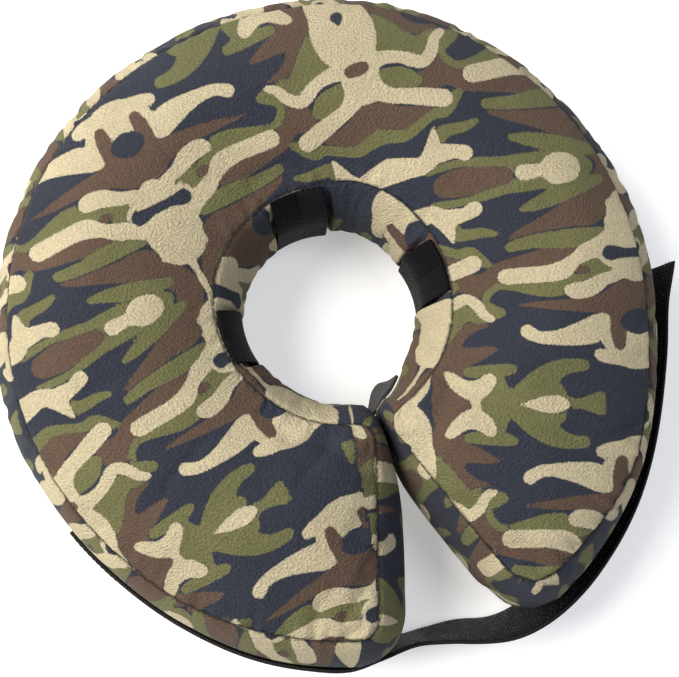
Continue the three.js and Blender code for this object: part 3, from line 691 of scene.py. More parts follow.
# The print repeats as a tile mirrored both ways. Each stroke of the tile is a brush's path:
# (across, up, half its width) in half millimetres, and later colours cover earlier ones.
TILE_WIDE, TILE_HIGH = 235.0, 238.0
print_tile = [
    ("brown", [
        [(14, 238, 12), (22, 224, 14), (34, 208, 16), (44, 199, 18), (60, 194, 13), (80, 188, 9),
         (98, 183, 6), (112, 179, 4), (124, 174, 2)],
        [(54, 166, 3), (76, 156, 9), (100, 151, 8), (122, 148, 6), (140, 140, 9), (150, 128, 12),
         (168, 129, 11), (184, 130, 9)],
        [(150, 128, 10), (158, 114, 8), (172, 112, 6)],
        [(-6, 105, 21), (10, 104, 19), (26, 101, 13), (44, 99, 9), (64, 99, 7), (86, 100, 5),
         (104, 101, 3), (119, 101, 1)],
        [(152, 81, 3), (165, 79, 5), (178, 72, 7), (188, 60, 9)],
        [(143, 56, 2), (152, 54, 5), (165, 50, 8), (182, 46, 12), (196, 38, 14), (190, 20, 16),
         (192, 2, 16), (178, 2, 12)],
        [(178, 162, 6), (198, 160, 10), (214, 158, 13), (226, 150, 13), (240, 150, 16),
         (228, 140, 8)],
    ]),
    ("green", [
        [(30, 224, 5), (46, 220, 7), (62, 215, 8), (80, 210, 8), (96, 205, 6), (109, 202, 3)],
        [(44, 240, 11), (60, 232, 13), (80, 232, 12), (104, 232, 13), (122, 226, 7),
         (142, 221, 5), (165, 218, 4), (185, 219, 4), (198, 222, 2)],
        [(30, 174, 5), (50, 170, 9), (75, 169, 9), (98, 169, 7), (115, 167, 6), (125, 165, 5)],
        [(138, 180, 3), (150, 183, 5), (165, 183, 6), (176, 185, 7), (178, 194, 5)],
        [(20, 140, 5), (34, 140, 9), (50, 136, 10), (62, 132, 9), (75, 120, 10), (92, 118, 9),
         (108, 121, 8), (126, 123, 5), (140, 123, 4), (150, 114, 4), (152, 104, 4),
         (146, 95, 8), (137, 93, 5)],
        [(30, 146, 5), (29, 152, 3), (27, 158, 1)],
        [(148, 90, 7), (160, 89, 7), (172, 94, 9), (186, 88, 13), (200, 80, 19), (206, 66, 14),
         (205, 55, 5)],
        [(146, 148, 3), (156, 154, 7), (166, 162, 8), (178, 164, 5), (195, 172, 5),
         (210, 177, 6), (226, 173, 7), (240, 170, 9)],
        [(184, 127, 6), (198, 123, 14), (214, 119, 13)],
        [(38, 8, 4), (48, 4, 5), (60, 0, 5), (74, 0, 7)],
        [(42, 0, 8), (50, 0, 7)],
        [(56, 38, 6), (68, 38, 7), (80, 35, 9), (92, 28, 12), (104, 18, 14), (116, 8, 13),
         (128, 2, 7), (136, 0, 5)],
        [(86, 10, 12), (98, 6, 14)],
        [(127, 36, 5), (140, 34, 7), (155, 33, 7), (172, 33, 5)],
        [(144, 24, 9), (140, 8, 10), (150, 0, 12), (138, 0, 8)],
    ]),
    ("brown", [
        [(122, 238, 9), (142, 237, 11), (165, 236, 13), (182, 238, 12)],
        [(50, 136, 4), (56, 136, 5)],
    ]),
    ("cream", [
        [(0, 240, 4), (0, 224, 3), (2, 212, 5), (8, 200, 14), (8, 184, 19), (8, 168, 22),
         (10, 156, 19), (5, 146, 15), (0, 136, 15)],
        [(20, 200, 6)],
        [(23, 184, 6)],
        [(0, 152, 21), (22, 152, 15)],
        [(20, 172, 8), (36, 160, 9), (50, 154, 9), (62, 146, 7), (74, 137, 10), (92, 134, 9),
         (112, 134, 9), (130, 134, 9)],
        [(6, 140, 8), (16, 130, 6), (32, 125, 7), (46, 117, 9), (60, 114, 9), (66, 115, 7)],
        [(111, 73, 7), (100, 67, 6), (84, 66, 7), (66, 68, 10), (48, 72, 13), (34, 77, 12),
         (24, 62, 12), (10, 52, 17), (-4, 50, 17)],
        [(16, 46, 9), (30, 46, 7), (39, 48, 6)],
        [(-2, 72, 11), (0, 62, 15)],
        [(60, 238, 14), (70, 238, 15), (84, 238, 4), (92, 238, 7), (103, 238, 8)],
        [(156, 209, 8), (166, 205, 7), (178, 204, 9), (188, 204, 10), (200, 212, 9),
         (216, 210, 11), (240, 207, 14)],
        [(187, 200, 9), (184, 190, 6), (181, 178, 2)],
        [(147, 87, 4), (155, 92, 5), (161, 103, 6), (172, 111, 6), (182, 106, 7), (192, 100, 6),
         (206, 96, 7), (218, 96, 9)],
        [(163, 151, 9), (180, 145, 9), (198, 139, 8), (212, 134, 8), (225, 124, 11),
         (238, 112, 22), (238, 92, 22), (238, 82, 24), (239, 66, 34), (240, 56, 35),
         (240, 44, 31), (241, 28, 32)],
        [(76, 0, 6), (86, 0, 9), (100, 0, 7), (112, 0, 3), (119, 0, 1)],
        [(150, 25, 7), (157, 18, 9), (167, 14, 10), (178, 18, 8), (188, 27, 6), (193, 31, 3)],
        [(164, 10, 7), (164, 0, 4)],
    ]),
    ("brown", [
        [(20, 96, 10), (20, 82, 8), (20, 70, 8), (19, 58, 6)],
        [(0, 98, 14), (12, 92, 10)],
        [(228, 99, 6), (240, 99, 8)],
    ]),
    ("navy", [
        [(-4, 151, 5), (10, 151, 5), (20, 152, 7), (25, 152, 8)],
        [(-18, 80, 1), (0, 80, 13), (18, 80, 1)],
        [(234, 43, 5), (240, 47, 8)],
    ]),
]
FAR, PRINT_UNIT, FINEST_BRUSH, BESIDE_STROKE = 60.0, 0.488, 0.5, 14


def brushed(stroke, steps=4):
    """A stroke's path, rounded between the points it was charted through."""
    points = np.array(stroke, float)
    held = np.vstack([points[:1], points, points[-1:]])
    path = [points[-1]]
    for a, b, c, d in zip(held[:-3], held[1:-2], held[2:-1], held[3:]):
        for t in np.arange(steps) / steps:
            path.insert(-1, b + 0.5 * t * (c - a + t * (2 * a - 5 * b + 4 * c - d
                                                        + t * (3 * (b - c) + d - a))))
    path = np.array(path)
    path[:, 2] = np.maximum(path[:, 2], FINEST_BRUSH)
    return path


def outside_stroke(stroke, u, v):
    """How far each place of the tile lies outside a stroke."""
    path = brushed(stroke)
    distance = np.full(u.shape, FAR)
    margin = path[:, 2].max() + BESIDE_STROKE
    low, high = path[:, :2].min(0) - margin, path[:, :2].max(0) + margin
    near = (u > low[0]) & (u < high[0]) & (v > low[1]) & (v < high[1])
    x, y = u[near], v[near]
    found = np.hypot(x - path[0, 0], y - path[0, 1]) - path[0, 2]
    for (ax, ay, ar), (bx, by, br) in zip(path[:-1], path[1:]):
        ex, ey = bx - ax, by - ay
        t = np.clip(((x - ax) * ex + (y - ay) * ey) / max(ex * ex + ey * ey, 1e-9), 0, 1)
        found = np.minimum(found, np.hypot(x - ax - t * ex, y - ay - t * ey) - ar - t * (br - ar))
    distance[near] = found
    return distance


def folded(x, size):
    x = np.abs(x) % (2 * size)
    return np.where(x > size, 2 * size - x, x)


def printed(x, y):
    """How far each place lies outside the cream, the green and the brown of the print, in
    millimetres. The rest is navy."""
    u, v = folded(x, TILE_WIDE), folded(y, TILE_HIGH)
    outside = {colour: np.full(u.shape, FAR) for colour in ("cream", "green", "brown")}
    for colour, strokes in print_tile:
        painted_over = np.minimum.reduce([outside_stroke(s, u, v) for s in strokes])
        for other in outside:
            outside[other] = (np.minimum(outside[other], painted_over) if other == colour
                              else np.maximum(outside[other], -painted_over))
    return np.stack([outside["cream"], outside["green"], outside["brown"]], -1) * PRINT_UNIT


# The flat cloth was turned a little from arm to arm when the ring was cut and closed. The
# turn, in degrees, and how far it slipped, are given by the angle at the ring's centre. The print
# is placed as it is seen from above, in the tile's units across a view as wide as the picture.
turn_at = [-60, 0, 15, 90, 145, 243, 300]
cloth_turn = [0.0, 1.5, 3.0, 21.6, 29.5, 31.0, 31.0]
cloth_slip = [0, 0, 6, 9, 0, -15, -15]
SIGHT_WIDTH, SIGHT_HEIGHT = 679, 677
SIGHT_SCALE = SIGHT_WIDTH * LENS_LENGTH / SENSOR_WIDTH
FIRST_ANGLE, LAST_ANGLE, TURN_SMOOTHING = -80, 320, 20
BAND_MIDDLE, RING_MIDDLE_X, RING_MIDDLE_Y = 205.0, 331.0, 315.0
FISH_X, FISH_Y, FISH_TO_AXIS = 555.0, 404.0, 85.2
angles = np.arange(FIRST_ANGLE, LAST_ANGLE + 1, 1.0)
turns = np.interp(angles, turn_at, cloth_turn)
window = np.ones(2 * TURN_SMOOTHING + 1)
turns = np.convolve(np.pad(turns, TURN_SMOOTHING, mode="edge"), window / len(window), "valid")
headings = np.radians(angles - turns)
midway = np.radians(1.0) * BAND_MIDDLE
between = (headings[1:] + headings[:-1]) / 2
line_x = np.r_[0, np.cumsum(-np.sin(between) * midway)]
line_y = np.r_[0, np.cumsum(np.cos(between) * midway)]


def flat_cloth(sight_x, sight_y):
    """Where a place of the top panel lies on the flat cloth."""
    dx, dy = sight_x - RING_MIDDLE_X, RING_MIDDLE_Y - sight_y
    out, angle = np.hypot(dx, dy) - BAND_MIDDLE, np.degrees(np.arctan2(dy, dx))
    angle = np.where(angle < FIRST_ANGLE, angle + 360, angle)
    heading = np.radians(angle - np.interp(angle, angles, turns))
    return (np.interp(angle, angles, line_x) + out * np.cos(heading),
            np.interp(angle, angles, line_y) + out * np.sin(heading)
            + np.interp(angle, turn_at, cloth_slip))


def seen_at(points):
    """Where points of the ring lie in the picture from above that the print was laid out on."""
    away_from_eye = (points + RING_CENTRE) * TO_METRES - np.array(eye)
    deep = -away_from_eye @ np.array(away)
    return (SIGHT_WIDTH / 2 + SIGHT_SCALE * (away_from_eye @ np.array(picture_right)) / deep,
            SIGHT_HEIGHT / 2 - SIGHT_SCALE * (away_from_eye @ np.array(picture_up)) / deep)


# A fish-shaped figure of the tile lies here in the right arm, and its mirror axis beside it.
fish_x, fish_y = flat_cloth(np.array(FISH_X), np.array(FISH_Y))


def top_print(points):
    x, y = flat_cloth(*seen_at(points))
    return printed(fish_x + FISH_TO_AXIS - x, y - fish_y)


# Where each wall's strip was cut from the tile: how far across and up, in the tile's units. The
# underside's print is the top's, as it would be seen at one height.
strip_cuts = {"neck": (54, 129), "right": (168, 20), "outside": (96, 20), "left": (160, 20)}
PRINT_SEEN_HEIGHT = 40.0


def wall_print(shape):
    """The walls are strips cut across the same cloth, so the print lies turned on them."""
    halfway_up = shape["wall"][:, shape["wall"].shape[1] // 2]
    step = np.linalg.norm(halfway_up - np.roll(halfway_up, 1, 0), axis=1)
    run = np.cumsum(step)[:, None] / PRINT_UNIT
    up = (ARC_RADIUS * WALL_ARC * shape["levels"] / PRINT_UNIT)[None, :]
    run, up = np.broadcast_arrays(run, up)
    start, height = np.array([strip_cuts[side] for side in shape["side"]]).T[..., None]
    return printed(start - up, height + run)


prints = np.concatenate([
    top_print(cover["top"].reshape(-1, 3)),
    top_print(cover["under"].reshape(-1, 3) * (1, 1, 0) + (0, 0, PRINT_SEEN_HEIGHT)),
    wall_print(cover).reshape(-1, 3)])

from_seam = np.zeros(len(cover_mesh.vertices), np.float32)
nearest_seam = np.minimum.reduce(seam_distances(cover)[1:]).ravel()
from_seam[numbers] = np.concatenate([nearest_seam, nearest_seam,
                                     wall_seam_distance(cover).ravel()])
store(cover_mesh, "from_seam", from_seam, kind="FLOAT")
store(cover_mesh, "print", prints[faces], domain="CORNER")

PRINT_FUZZ, PRINT_EDGE, WEAR, TUFT_CONTRAST, SEAM_SHADE_FUZZ = 1.6, 0.38, 0.35, 0.9, 2.4
plush = Finish("camouflage_plush")
grain = plush.object_place()
cream_edge, green_edge, brown_edge = plush.parts_of(plush.stored("print"))
fuzz = plush.uneven(grain, PRINT_FUZZ, scale=900, detail=3, roughness=0.65)
colour = linear("30343f")
for edge, chip in ((brown_edge, "5a493e"), (green_edge, "676745"), (cream_edge, "b9ae91")):
    inside = (edge + fuzz).ramp(-PRINT_EDGE, PRINT_EDGE, low=1, high=0)
    colour = plush.blend(inside, colour, linear(chip))
nap = plush.stretched(grain, (1, 1.5, 1.2), (0, 0, 0.6))
tufts = plush.speckle(nap, scale=820, detail=3, roughness=0.6)
worn = plush.uneven(grain, WEAR, scale=45, detail=3) + (tufts - 0.5) * TUFT_CONTRAST
# Painted shade: within about 1.5 mm of each seam the plush is darkened down to 0.4 of its colour,
# with a ragged edge, as shade in the seam's crease. The random mottle of tone is the cloth's own.
painted_seam_shade = plush.stored("from_seam", "Fac") + plush.uneven(grain, SEAM_SHADE_FUZZ, scale=330, detail=2)
mottle_and_seam_shade = (1.0 + worn) * painted_seam_shade.ramp(0.1, 1.5, low=0.4, high=1)
grey = plush.node("ShaderNodeCombineColor", {}, {"Red": mottle_and_seam_shade, "Green": mottle_and_seam_shade, "Blue": mottle_and_seam_shade})
colour = plush.blend(1.0, colour, grey, how="MULTIPLY")
plush.plug(plush.shader, {
    "Base Color": colour, "Roughness": 0.8, "Specular IOR Level": 0.14,
    "Sheen Weight": 0.02, "Sheen Roughness": 0.4,
    "Normal": plush.relief(tufts, distance=0.0024, strength=0.9)})
cover_mesh.materials.append(plush.material)
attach(collar_cover, "root")
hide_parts("top_panel", "bottom_panel", "outer_wall", "neck_wall",
            "left_end_panel", "right_end_panel")

# Seam thread: dark lockstitch shows in the valleys where the cover's panels are sewn together.
# The same bent thread, at other sizes, makes the tape stitching and the strap's hooks.


def bent_thread_tree():
    """Sets one short bent thread on every point, by the point's own heading and facing."""
    tree = bpy.data.node_groups.new("bent_threads", "GeometryNodeTree")
    for socket, kind, way in (("Places", "Geometry", "INPUT"), ("Start", "Vector", "INPUT"),
                              ("Bend", "Vector", "INPUT"), ("End", "Vector", "INPUT"),
                              ("Thread Radius", "Float", "INPUT"), ("Sides", "Int", "INPUT"),
                              ("Finish", "Material", "INPUT"), ("Threads", "Geometry", "OUTPUT")):
        tree.interface.new_socket(socket, in_out=way, socket_type="NodeSocket" + kind)
    given = tree.nodes.new("NodeGroupInput").outputs

    def add(kind, settings=None, output=0, **inputs):
        made = tree.nodes.new(kind)
        for name, value in (settings or {}).items():
            setattr(made, name, value)
        for name, value in inputs.items():
            socket = made.inputs[name.replace("_", " ")]
            if isinstance(value, bpy.types.NodeSocket):
                tree.links.new(value, socket)
            else:
                socket.default_value = value
        return made.outputs[output]

    path = add("GeometryNodeCurveQuadraticBezier", Resolution=4, Start=given["Start"],
               Middle=given["Bend"], End=given["End"])
    section = add("GeometryNodeCurvePrimitiveCircle", Resolution=given["Sides"],
                  Radius=given["Thread Radius"])
    thread = add("GeometryNodeCurveToMesh", Curve=path, Profile_Curve=section, Fill_Caps=True)
    heading = add("GeometryNodeInputNamedAttribute", {"data_type": "FLOAT_VECTOR"}, Name="heading")
    facing = add("GeometryNodeInputNamedAttribute", {"data_type": "FLOAT_VECTOR"}, Name="facing")
    turned = add("FunctionNodeAlignRotationToVector", {"axis": "X"}, Vector=heading)
    turned = add("FunctionNodeAlignRotationToVector", {"axis": "Z", "pivot_axis": "X"},
                 Rotation=turned, Vector=facing)
    set_in = add("GeometryNodeInstanceOnPoints", Points=given["Places"], Instance=thread,
                 Rotation=turned)
    real = add("GeometryNodeRealizeInstances", Geometry=set_in)
    rounded = add("GeometryNodeSetShadeSmooth", Geometry=real)
    finished = add("GeometryNodeSetMaterial", Geometry=rounded, Material=given["Finish"])
    tree.links.new(finished, tree.nodes.new("NodeGroupOutput").inputs[0])
    return tree


bent_threads = bent_thread_tree()


def threads_object(name, rows, start, bend, end, radius, sides, finish):
    """rows are (places, headings, facings) in millimetres. Sizes of the thread are too."""
    places, headings, facings = (np.concatenate(values) for values in zip(*rows))
    mesh = mesh_of(name, places)
    store(mesh, "heading", headings)
    store(mesh, "facing", facings)
    made = placed(name, mesh)
    sewing = made.modifiers.new("threads", "NODES")
    sewing.node_group = bent_threads
    sizes = {"Start": start, "Bend": bend, "End": end}
    values = {socket: [v * TO_METRES for v in size] for socket, size in sizes.items()}
    values |= {"Thread Radius": radius * TO_METRES, "Sides": sides, "Finish": finish.material}
    for socket in bent_threads.interface.items_tree:
        if socket.name in values:
            sewing[socket.identifier] = values[socket.name]
    graph = bpy.context.evaluated_depsgraph_get()
    sewn = bpy.data.meshes.new_from_object(made.evaluated_get(graph))
    made.modifiers.clear()
    made.data = sewn
    return made


def evenly(points, facings, step, closed=False):
    """Places at even steps along a line on the cloth, the line's heading and the cloth's
    facing there."""
    if closed:
        points, facings = np.vstack([points, points[:1]]), np.vstack([facings, facings[:1]])
    far = run_along(points)
    at = np.arange(step / 2, far[-1], step)

    def read(values, where):
        return np.stack([np.interp(where, far, values[:, k]) for k in range(3)], 1)

    return (read(points, at), unit(read(points, at + step / 8) - read(points, at - step / 8)),
            unit(read(facings, at)))


def stitch(length, rise, sunk=0):
    """Start, bend and end of one stitch."""
    return (-length / 2, 0, -sunk), (0, 0, rise), (length / 2, 0, -sunk)


SEAM_STITCH, SEAM_STITCH_RISE, SEAM_STITCH_STEP, SEAM_THREAD = 2.3, 0.35, 3.4, 0.2
SEAM_THREAD_LIFT, THREAD_SIDES, HOOK_SIDES = 0.05, 4, 3
dark_thread = Finish("dark_thread")
twist = dark_thread.speckle(dark_thread.object_place(), scale=2600, detail=1)
dark_thread.plug(dark_thread.shader, {
    "Base Color": dark_thread.blend(twist.ramp(0.35, 0.65), linear("0e0e10"), linear("26262a")),
    "Roughness": 0.6})
cover_places = places_of(cover_mesh) / TO_METRES
cover_facings = vectors_of(cover_mesh.vertex_normals, "vector")
top_count = cover["top"][..., 0].size
top_numbers = np.arange(top_count).reshape(cover["top"].shape[:2])
seam_rows = []
for samples in (ring_of(top_numbers), ring_of(top_numbers) + top_count):
    line, looks = cover_places[numbers[samples]], cover_facings[numbers[samples]]
    seam_rows.append(evenly(line + SEAM_THREAD_LIFT * looks, looks, SEAM_STITCH_STEP, closed=True))
seam_stitches = threads_object("seam_stitches", seam_rows, *stitch(SEAM_STITCH, SEAM_STITCH_RISE),
                               SEAM_THREAD, THREAD_SIDES, dark_thread)
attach(seam_stitches, "root")

# Webbing loops: three lengths of 26 mm black herringbone webbing. Each stands across the neck
# wall with both ends caught in the seams, and the pet's own collar is threaded through them.
LOOP_WIDTH, WEBBING_THICKNESS, LOOP_FLAT_HALF = 26.0, 1.4, 9.0
SEAM_TUCK, LIE_CLEAR, LOOP_BEND = 0.8, 0.3, 1.7
LOOP_ROWS_BENT, LOOP_ROWS_FLAT, LOOP_COLUMNS = 16, 9, 12
EDGE_SHARES = np.array([0, 0.35, 0.7, 0.92, 1.0])


def tape_across(width, thickness, count):
    """Places across a tape, close together at its rounded edges, and how thick it is there."""
    flat_half = (width - thickness) / 2
    edge = flat_half + thickness / 2 * EDGE_SHARES
    flat = np.linspace(-flat_half, flat_half, count + 1)[1:-1]
    across = np.concatenate([-edge[::-1], flat, edge])
    into_edge = np.clip(np.abs(across) - flat_half, 0, None) / (thickness / 2)
    return across, thickness * np.sqrt(np.clip(1 - into_edge**2, 0, 1))


def tape_object(name, back, facing, thickness, thick, across, raised=0.0):
    """A woven tape closed all round, in rows along it. Its back lies at back."""
    facing = unit(np.broadcast_to(facing, back.shape))
    middle = back + facing * thickness / 2
    half = thick[None, :, None] / 2
    face = middle + facing * (half + np.asarray(raised)[..., None])
    under = middle - facing * half
    ring = np.concatenate([face, under[:, -2:0:-1]], axis=1)
    corners = np.arange(ring[..., 0].size).reshape(ring.shape[:2])
    mesh = mesh_of(name, ring.reshape(-1, 3) + RING_CENTRE,
                   quads_of(corners.T, closed=True).tolist()
                   + [corners[0].tolist(), corners[-1].tolist()])
    form = bmesh.new()
    form.from_mesh(mesh)
    bmesh.ops.recalc_face_normals(form, faces=form.faces)
    form.to_mesh(mesh)
    form.free()
    smooth_faces = np.ones(len(mesh.polygons), bool)
    smooth_faces[-2:] = False
    mesh.polygons.foreach_set("use_smooth", smooth_faces)
    run = run_along(middle[:, len(across) // 2])
    weave = np.zeros(ring.shape)
    weave[..., 0] = run[:, None]
    weave[..., 1] = np.r_[across, across[-2:0:-1]]
    weave[..., 2] = np.r_[np.ones(len(across)), -np.ones(len(across) - 2)]
    store(mesh, "weave", weave)
    return placed(name, mesh), float(run[-1]), face + RING_CENTRE, under + RING_CENTRE, facing


webbing = Finish("black_herringbone_webbing")
TWILL_SLOPE, TWILL_PITCH, COLUMN_WIDTH = 0.55, 1.4, LOOP_WIDTH / 2
run, aside, _ = webbing.parts_of(webbing.stored("weave"))
column = (aside + LOOP_WIDTH).turned_over(COLUMN_WIDTH)
ridge = (run + column * TWILL_SLOPE).wave(TWILL_PITCH)
spine = column.ramp(0.15, 0.5) * (COLUMN_WIDTH - column).ramp(0.15, 0.5)
lint = webbing.speckle(webbing.object_place(), scale=700, detail=3)
# The twill ridges are coloured a little lighter than the black between them. This is partly the
# weave's pattern and partly painted highlight on the ridge tops.
webbing.plug(webbing.shader, {
    "Base Color": webbing.blend(ridge * spine * lint.ramp(0.3, 0.75, low=0.5, high=1),
                                linear("010102"), linear("101012")),
    "Roughness": lint.ramp(0.3, 0.7, low=0.5, high=0.7), "Specular IOR Level": 0.11,
    "Normal": webbing.relief(ridge * spine, distance=0.0005, strength=0.9)})
for name, loop_bearing in LOOP_BEARINGS.items():
    bearing = np.array(float(loop_bearing))
    middle = float(neck_crest(bearing)) + SEAM_TUCK + WEBBING_THICKNESS
    end = float(neck_seam(bearing)) - LIE_CLEAR
    share = np.linspace(0, 1, LOOP_ROWS_BENT)
    bent = np.stack([middle + (end - middle) * share**LOOP_BEND,
                     LOOP_FLAT_HALF + (SEAM_HALF_HEIGHT - LIE_CLEAR - LOOP_FLAT_HALF) * share], 1)
    flat = np.linspace(LOOP_FLAT_HALF, -LOOP_FLAT_HALF, LOOP_ROWS_FLAT)[1:-1]
    straight = np.stack([np.full_like(flat, middle), flat], 1)
    path = np.concatenate([bent[::-1], straight, bent * (1, -1)])
    heading = np.gradient(path, axis=0)
    across, thick = tape_across(LOOP_WIDTH, WEBBING_THICKNESS, LOOP_COLUMNS)
    out, up = np.r_[outward(bearing), 0], np.array([0, 0, 1.0])
    sideways = np.cross(up, out)
    hollow = path[:, :1] - np.sqrt(path[:, :1] ** 2 - across**2)
    back = ((path[:, :1] - hollow)[..., None] * out + path[:, 1:, None] * up
            + across[None, :, None] * sideways)
    facing = (heading[:, 1:] * out - heading[:, :1] * up)[:, None]
    loop, length, *_ = tape_object(name + "_webbing", back, facing, WEBBING_THICKNESS, thick,
                                   across)
    loop.data.materials.append(webbing.material)
    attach(loop, "root")
    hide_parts(name)
    length * TO_METRES

# Closing strap: 38 mm black hook tape, sewn to the left arm's wall and wrapped over the right
# arm's. Its back is woven in fine cross rows, and the side towards the arm carries the hooks.
STRAP_WIDTH, STRAP_THICKNESS, STRAP_TOP, STRAP_SLACK = 38.0, 2.0, 1.0, 10.0
strap_bearing = [69, 54, 39, 24, 17, 12, 6, 1, -4, -9, -15, -22, -30, -40, -52, -65, -73, -80]
strap_hug = [1, 1, 1, 1, 0.9, 0.6, 0, 0, 0, 0, 0, 0, 0, 0, 0, 0, 0, 0]
strap_stand_off = [0, 0, 0, 0, 0, -0.34, -0.6, -0.36, 0, 0.35, 0.42, 0.36, 0.28, 0.26, 0.21, 0.2,
                   0.26, 0.66]
strap_lean = [6, 6, 6, 6, 5, 5, 4, 8, 14, 14, 15, 18, 20, 22, 25, 28, 30, 34]
STRAP_ROWS, STRAP_COLUMNS = 150, 22
bearing = np.linspace(strap_bearing[0], strap_bearing[-1], STRAP_ROWS)
hug = np.clip(along(strap_bearing, strap_hug, bearing), 0, 1)[:, None]
flat_lean = np.radians(along(strap_bearing, strap_lean, bearing))[:, None]
top_lean = -math.asin(STRAP_TOP / ARC_RADIUS)
touch = ARC_RADIUS * np.sin(flat_lean)
flat_reach = (STRAP_TOP + touch) * np.tan(flat_lean) - ARC_RADIUS * (1 - np.cos(flat_lean))
hug_reach = -ARC_RADIUS * (1 - math.cos(top_lean))
top_radius = (outer_crest(bearing)[:, None] + flat_reach + (hug_reach - flat_reach) * hug
              + STRAP_SLACK * along(strap_bearing, strap_stand_off, bearing)[:, None]
              + 2 * LIE_CLEAR)
across, thick = tape_across(STRAP_WIDTH, STRAP_THICKNESS, STRAP_COLUMNS)
down = across + STRAP_WIDTH / 2


def lean_at(far_down):
    return flat_lean + (top_lean + far_down / ARC_RADIUS - flat_lean) * hug


step_down = np.diff(down)
between = lean_at(((down[1:] + down[:-1]) / 2)[None, :])
at_top = np.zeros((len(bearing), 1))
radius = top_radius - np.hstack([at_top, np.cumsum(step_down * np.sin(between), 1)])
height = STRAP_TOP - np.hstack([at_top, np.cumsum(step_down * np.cos(between), 1)])
lean = lean_at(down[None, :])
strap, strap_length, strap_face, strap_under, strap_facing = tape_object(
    "hook_strap", round_ring(bearing, radius, height),
    round_ring(bearing, np.cos(lean), -np.sin(lean)), STRAP_THICKNESS, thick, across)
hook_tape = Finish("black_hook_tape")
run, aside, _ = hook_tape.parts_of(hook_tape.stored("weave"))
rows, warp = run.wave(pitch=1.3), aside.wave(pitch=0.9)
lint = hook_tape.speckle(hook_tape.object_place(), scale=500, detail=3)
weft = rows * (0.6 + 0.4 * warp)
hook_tape.plug(hook_tape.shader, {
    "Base Color": hook_tape.blend(weft * lint.ramp(0.3, 0.75, low=0.4, high=1), linear("020203"),
                                  linear("0e0f11")),
    "Roughness": lint.ramp(0.3, 0.7, low=0.5, high=0.68), "Specular IOR Level": 0.25,
    "Normal": hook_tape.relief(weft, distance=0.0004, strength=0.8)})
strap.data.materials.append(hook_tape.material)
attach(strap, "root")
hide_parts("closing_strap")
strap_length * TO_METRES

# The hooks stand on the strap's inner side from the gap to the free end. Every second row starts
# a little further along.
HOOK_PITCH, HOOKS_START, HOOK_MARGIN, HOOK_RADIUS = 2.0, 4.0, 2.6, 0.12
HOOK_ROOT, HOOK_BEND, HOOK_TIP = (0, 0, -0.1), (0.1, 0, 1.615), (0.62, 0, 0.42)
hook_rows = []
under_line = strap_under[bearing <= HOOKS_START]
facing_line = -strap_facing[bearing <= HOOKS_START]
rows_across = np.arange(-STRAP_WIDTH / 2 + HOOK_MARGIN, STRAP_WIDTH / 2 - HOOK_MARGIN, HOOK_PITCH)
for count, place in enumerate(rows_across):
    line, looks = (np.stack([[np.interp(place, across, row[:, k]) for k in range(3)]
                             for row in grid[count % 2:]]) for grid in (under_line, facing_line))
    hook_rows.append(evenly(line, looks, HOOK_PITCH))
nylon = Finish("hook_nylon")
# Painted highlights: a random share of the hooks is coloured light grey, as glints of light on
# them. The same speckle makes those hooks glossier.
painted_hook_glints = nylon.speckle(nylon.object_place(), scale=900, detail=1)
nylon.plug(nylon.shader, {
    "Base Color": nylon.blend(painted_hook_glints.ramp(0.52, 0.66), linear("0b0b0d"), linear("6e6f74")),
    "Roughness": painted_hook_glints.ramp(0.3, 0.7, low=0.35, high=0.22)})
strap_hooks = threads_object("strap_hooks", hook_rows, HOOK_ROOT, HOOK_BEND, HOOK_TIP,
                             HOOK_RADIUS, HOOK_SIDES, nylon)
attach(strap_hooks, "root")

# Landing strip: black loop pile tape sewn flat along the right arm's wall, for the hooks to grip.
STRIP_THICKNESS, STRIP_ROUNDING, PILE_UNEVENNESS, PILE_SEED = 1.0, 0.5, 0.05, 3
STRIP_START, STRIP_END, STRIP_ROWS = 342, 298, 70
STRIP_LOW, STRIP_HIGH, STRIP_COLUMNS = -0.8, 0.02, 28
strip_bearings = np.linspace(STRIP_START, STRIP_END, STRIP_ROWS)
levels_up = np.linspace(STRIP_LOW, STRIP_HIGH, STRIP_COLUMNS)
strip_across = (levels_up - levels_up.mean()) * ARC_RADIUS * WALL_ARC
strip_edge = np.clip((np.abs(strip_across) - strip_across[-1]) / STRIP_ROUNDING + 1, 0, 1)
thick = STRIP_THICKNESS * np.sqrt(np.clip(1 - strip_edge**2, 0, 1))
radius = outer_seam(strip_bearings)[:, None] + WALL_BULGE * wall_fullness(levels_up)[None, :]
lean = WALL_ARC * levels_up
back = round_ring(strip_bearings, radius, wall_height(levels_up))
facing = round_ring(strip_bearings, np.cos(lean), np.sin(lean))
uneven_pile = np.random.default_rng(PILE_SEED).normal(0, PILE_UNEVENNESS, radius.shape)
strip, strip_length, strip_face, _, strip_facing = tape_object(
    "pile_strip", back + 2 * LIE_CLEAR * facing, facing, STRIP_THICKNESS, thick, strip_across,
    uneven_pile)
pile = Finish("black_loop_pile")
tangle = pile.speckle(pile.object_place(), scale=1500, detail=3, roughness=0.7)
clumps = pile.speckle(pile.object_place(), scale=380, detail=2)
pile.plug(pile.shader, {
    "Base Color": pile.blend(tangle.ramp(0.35, 0.7), linear("070708"), linear("1d1d1f")),
    "Roughness": clumps.ramp(0.3, 0.7, low=0.8, high=0.97), "Sheen Weight": 0.15,
    "Normal": pile.relief(tangle + 0.7 * clumps, distance=0.0009, strength=0.9)})
strip.data.materials.append(pile.material)
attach(strip, "root")
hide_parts("landing_strip")
strip_length * TO_METRES

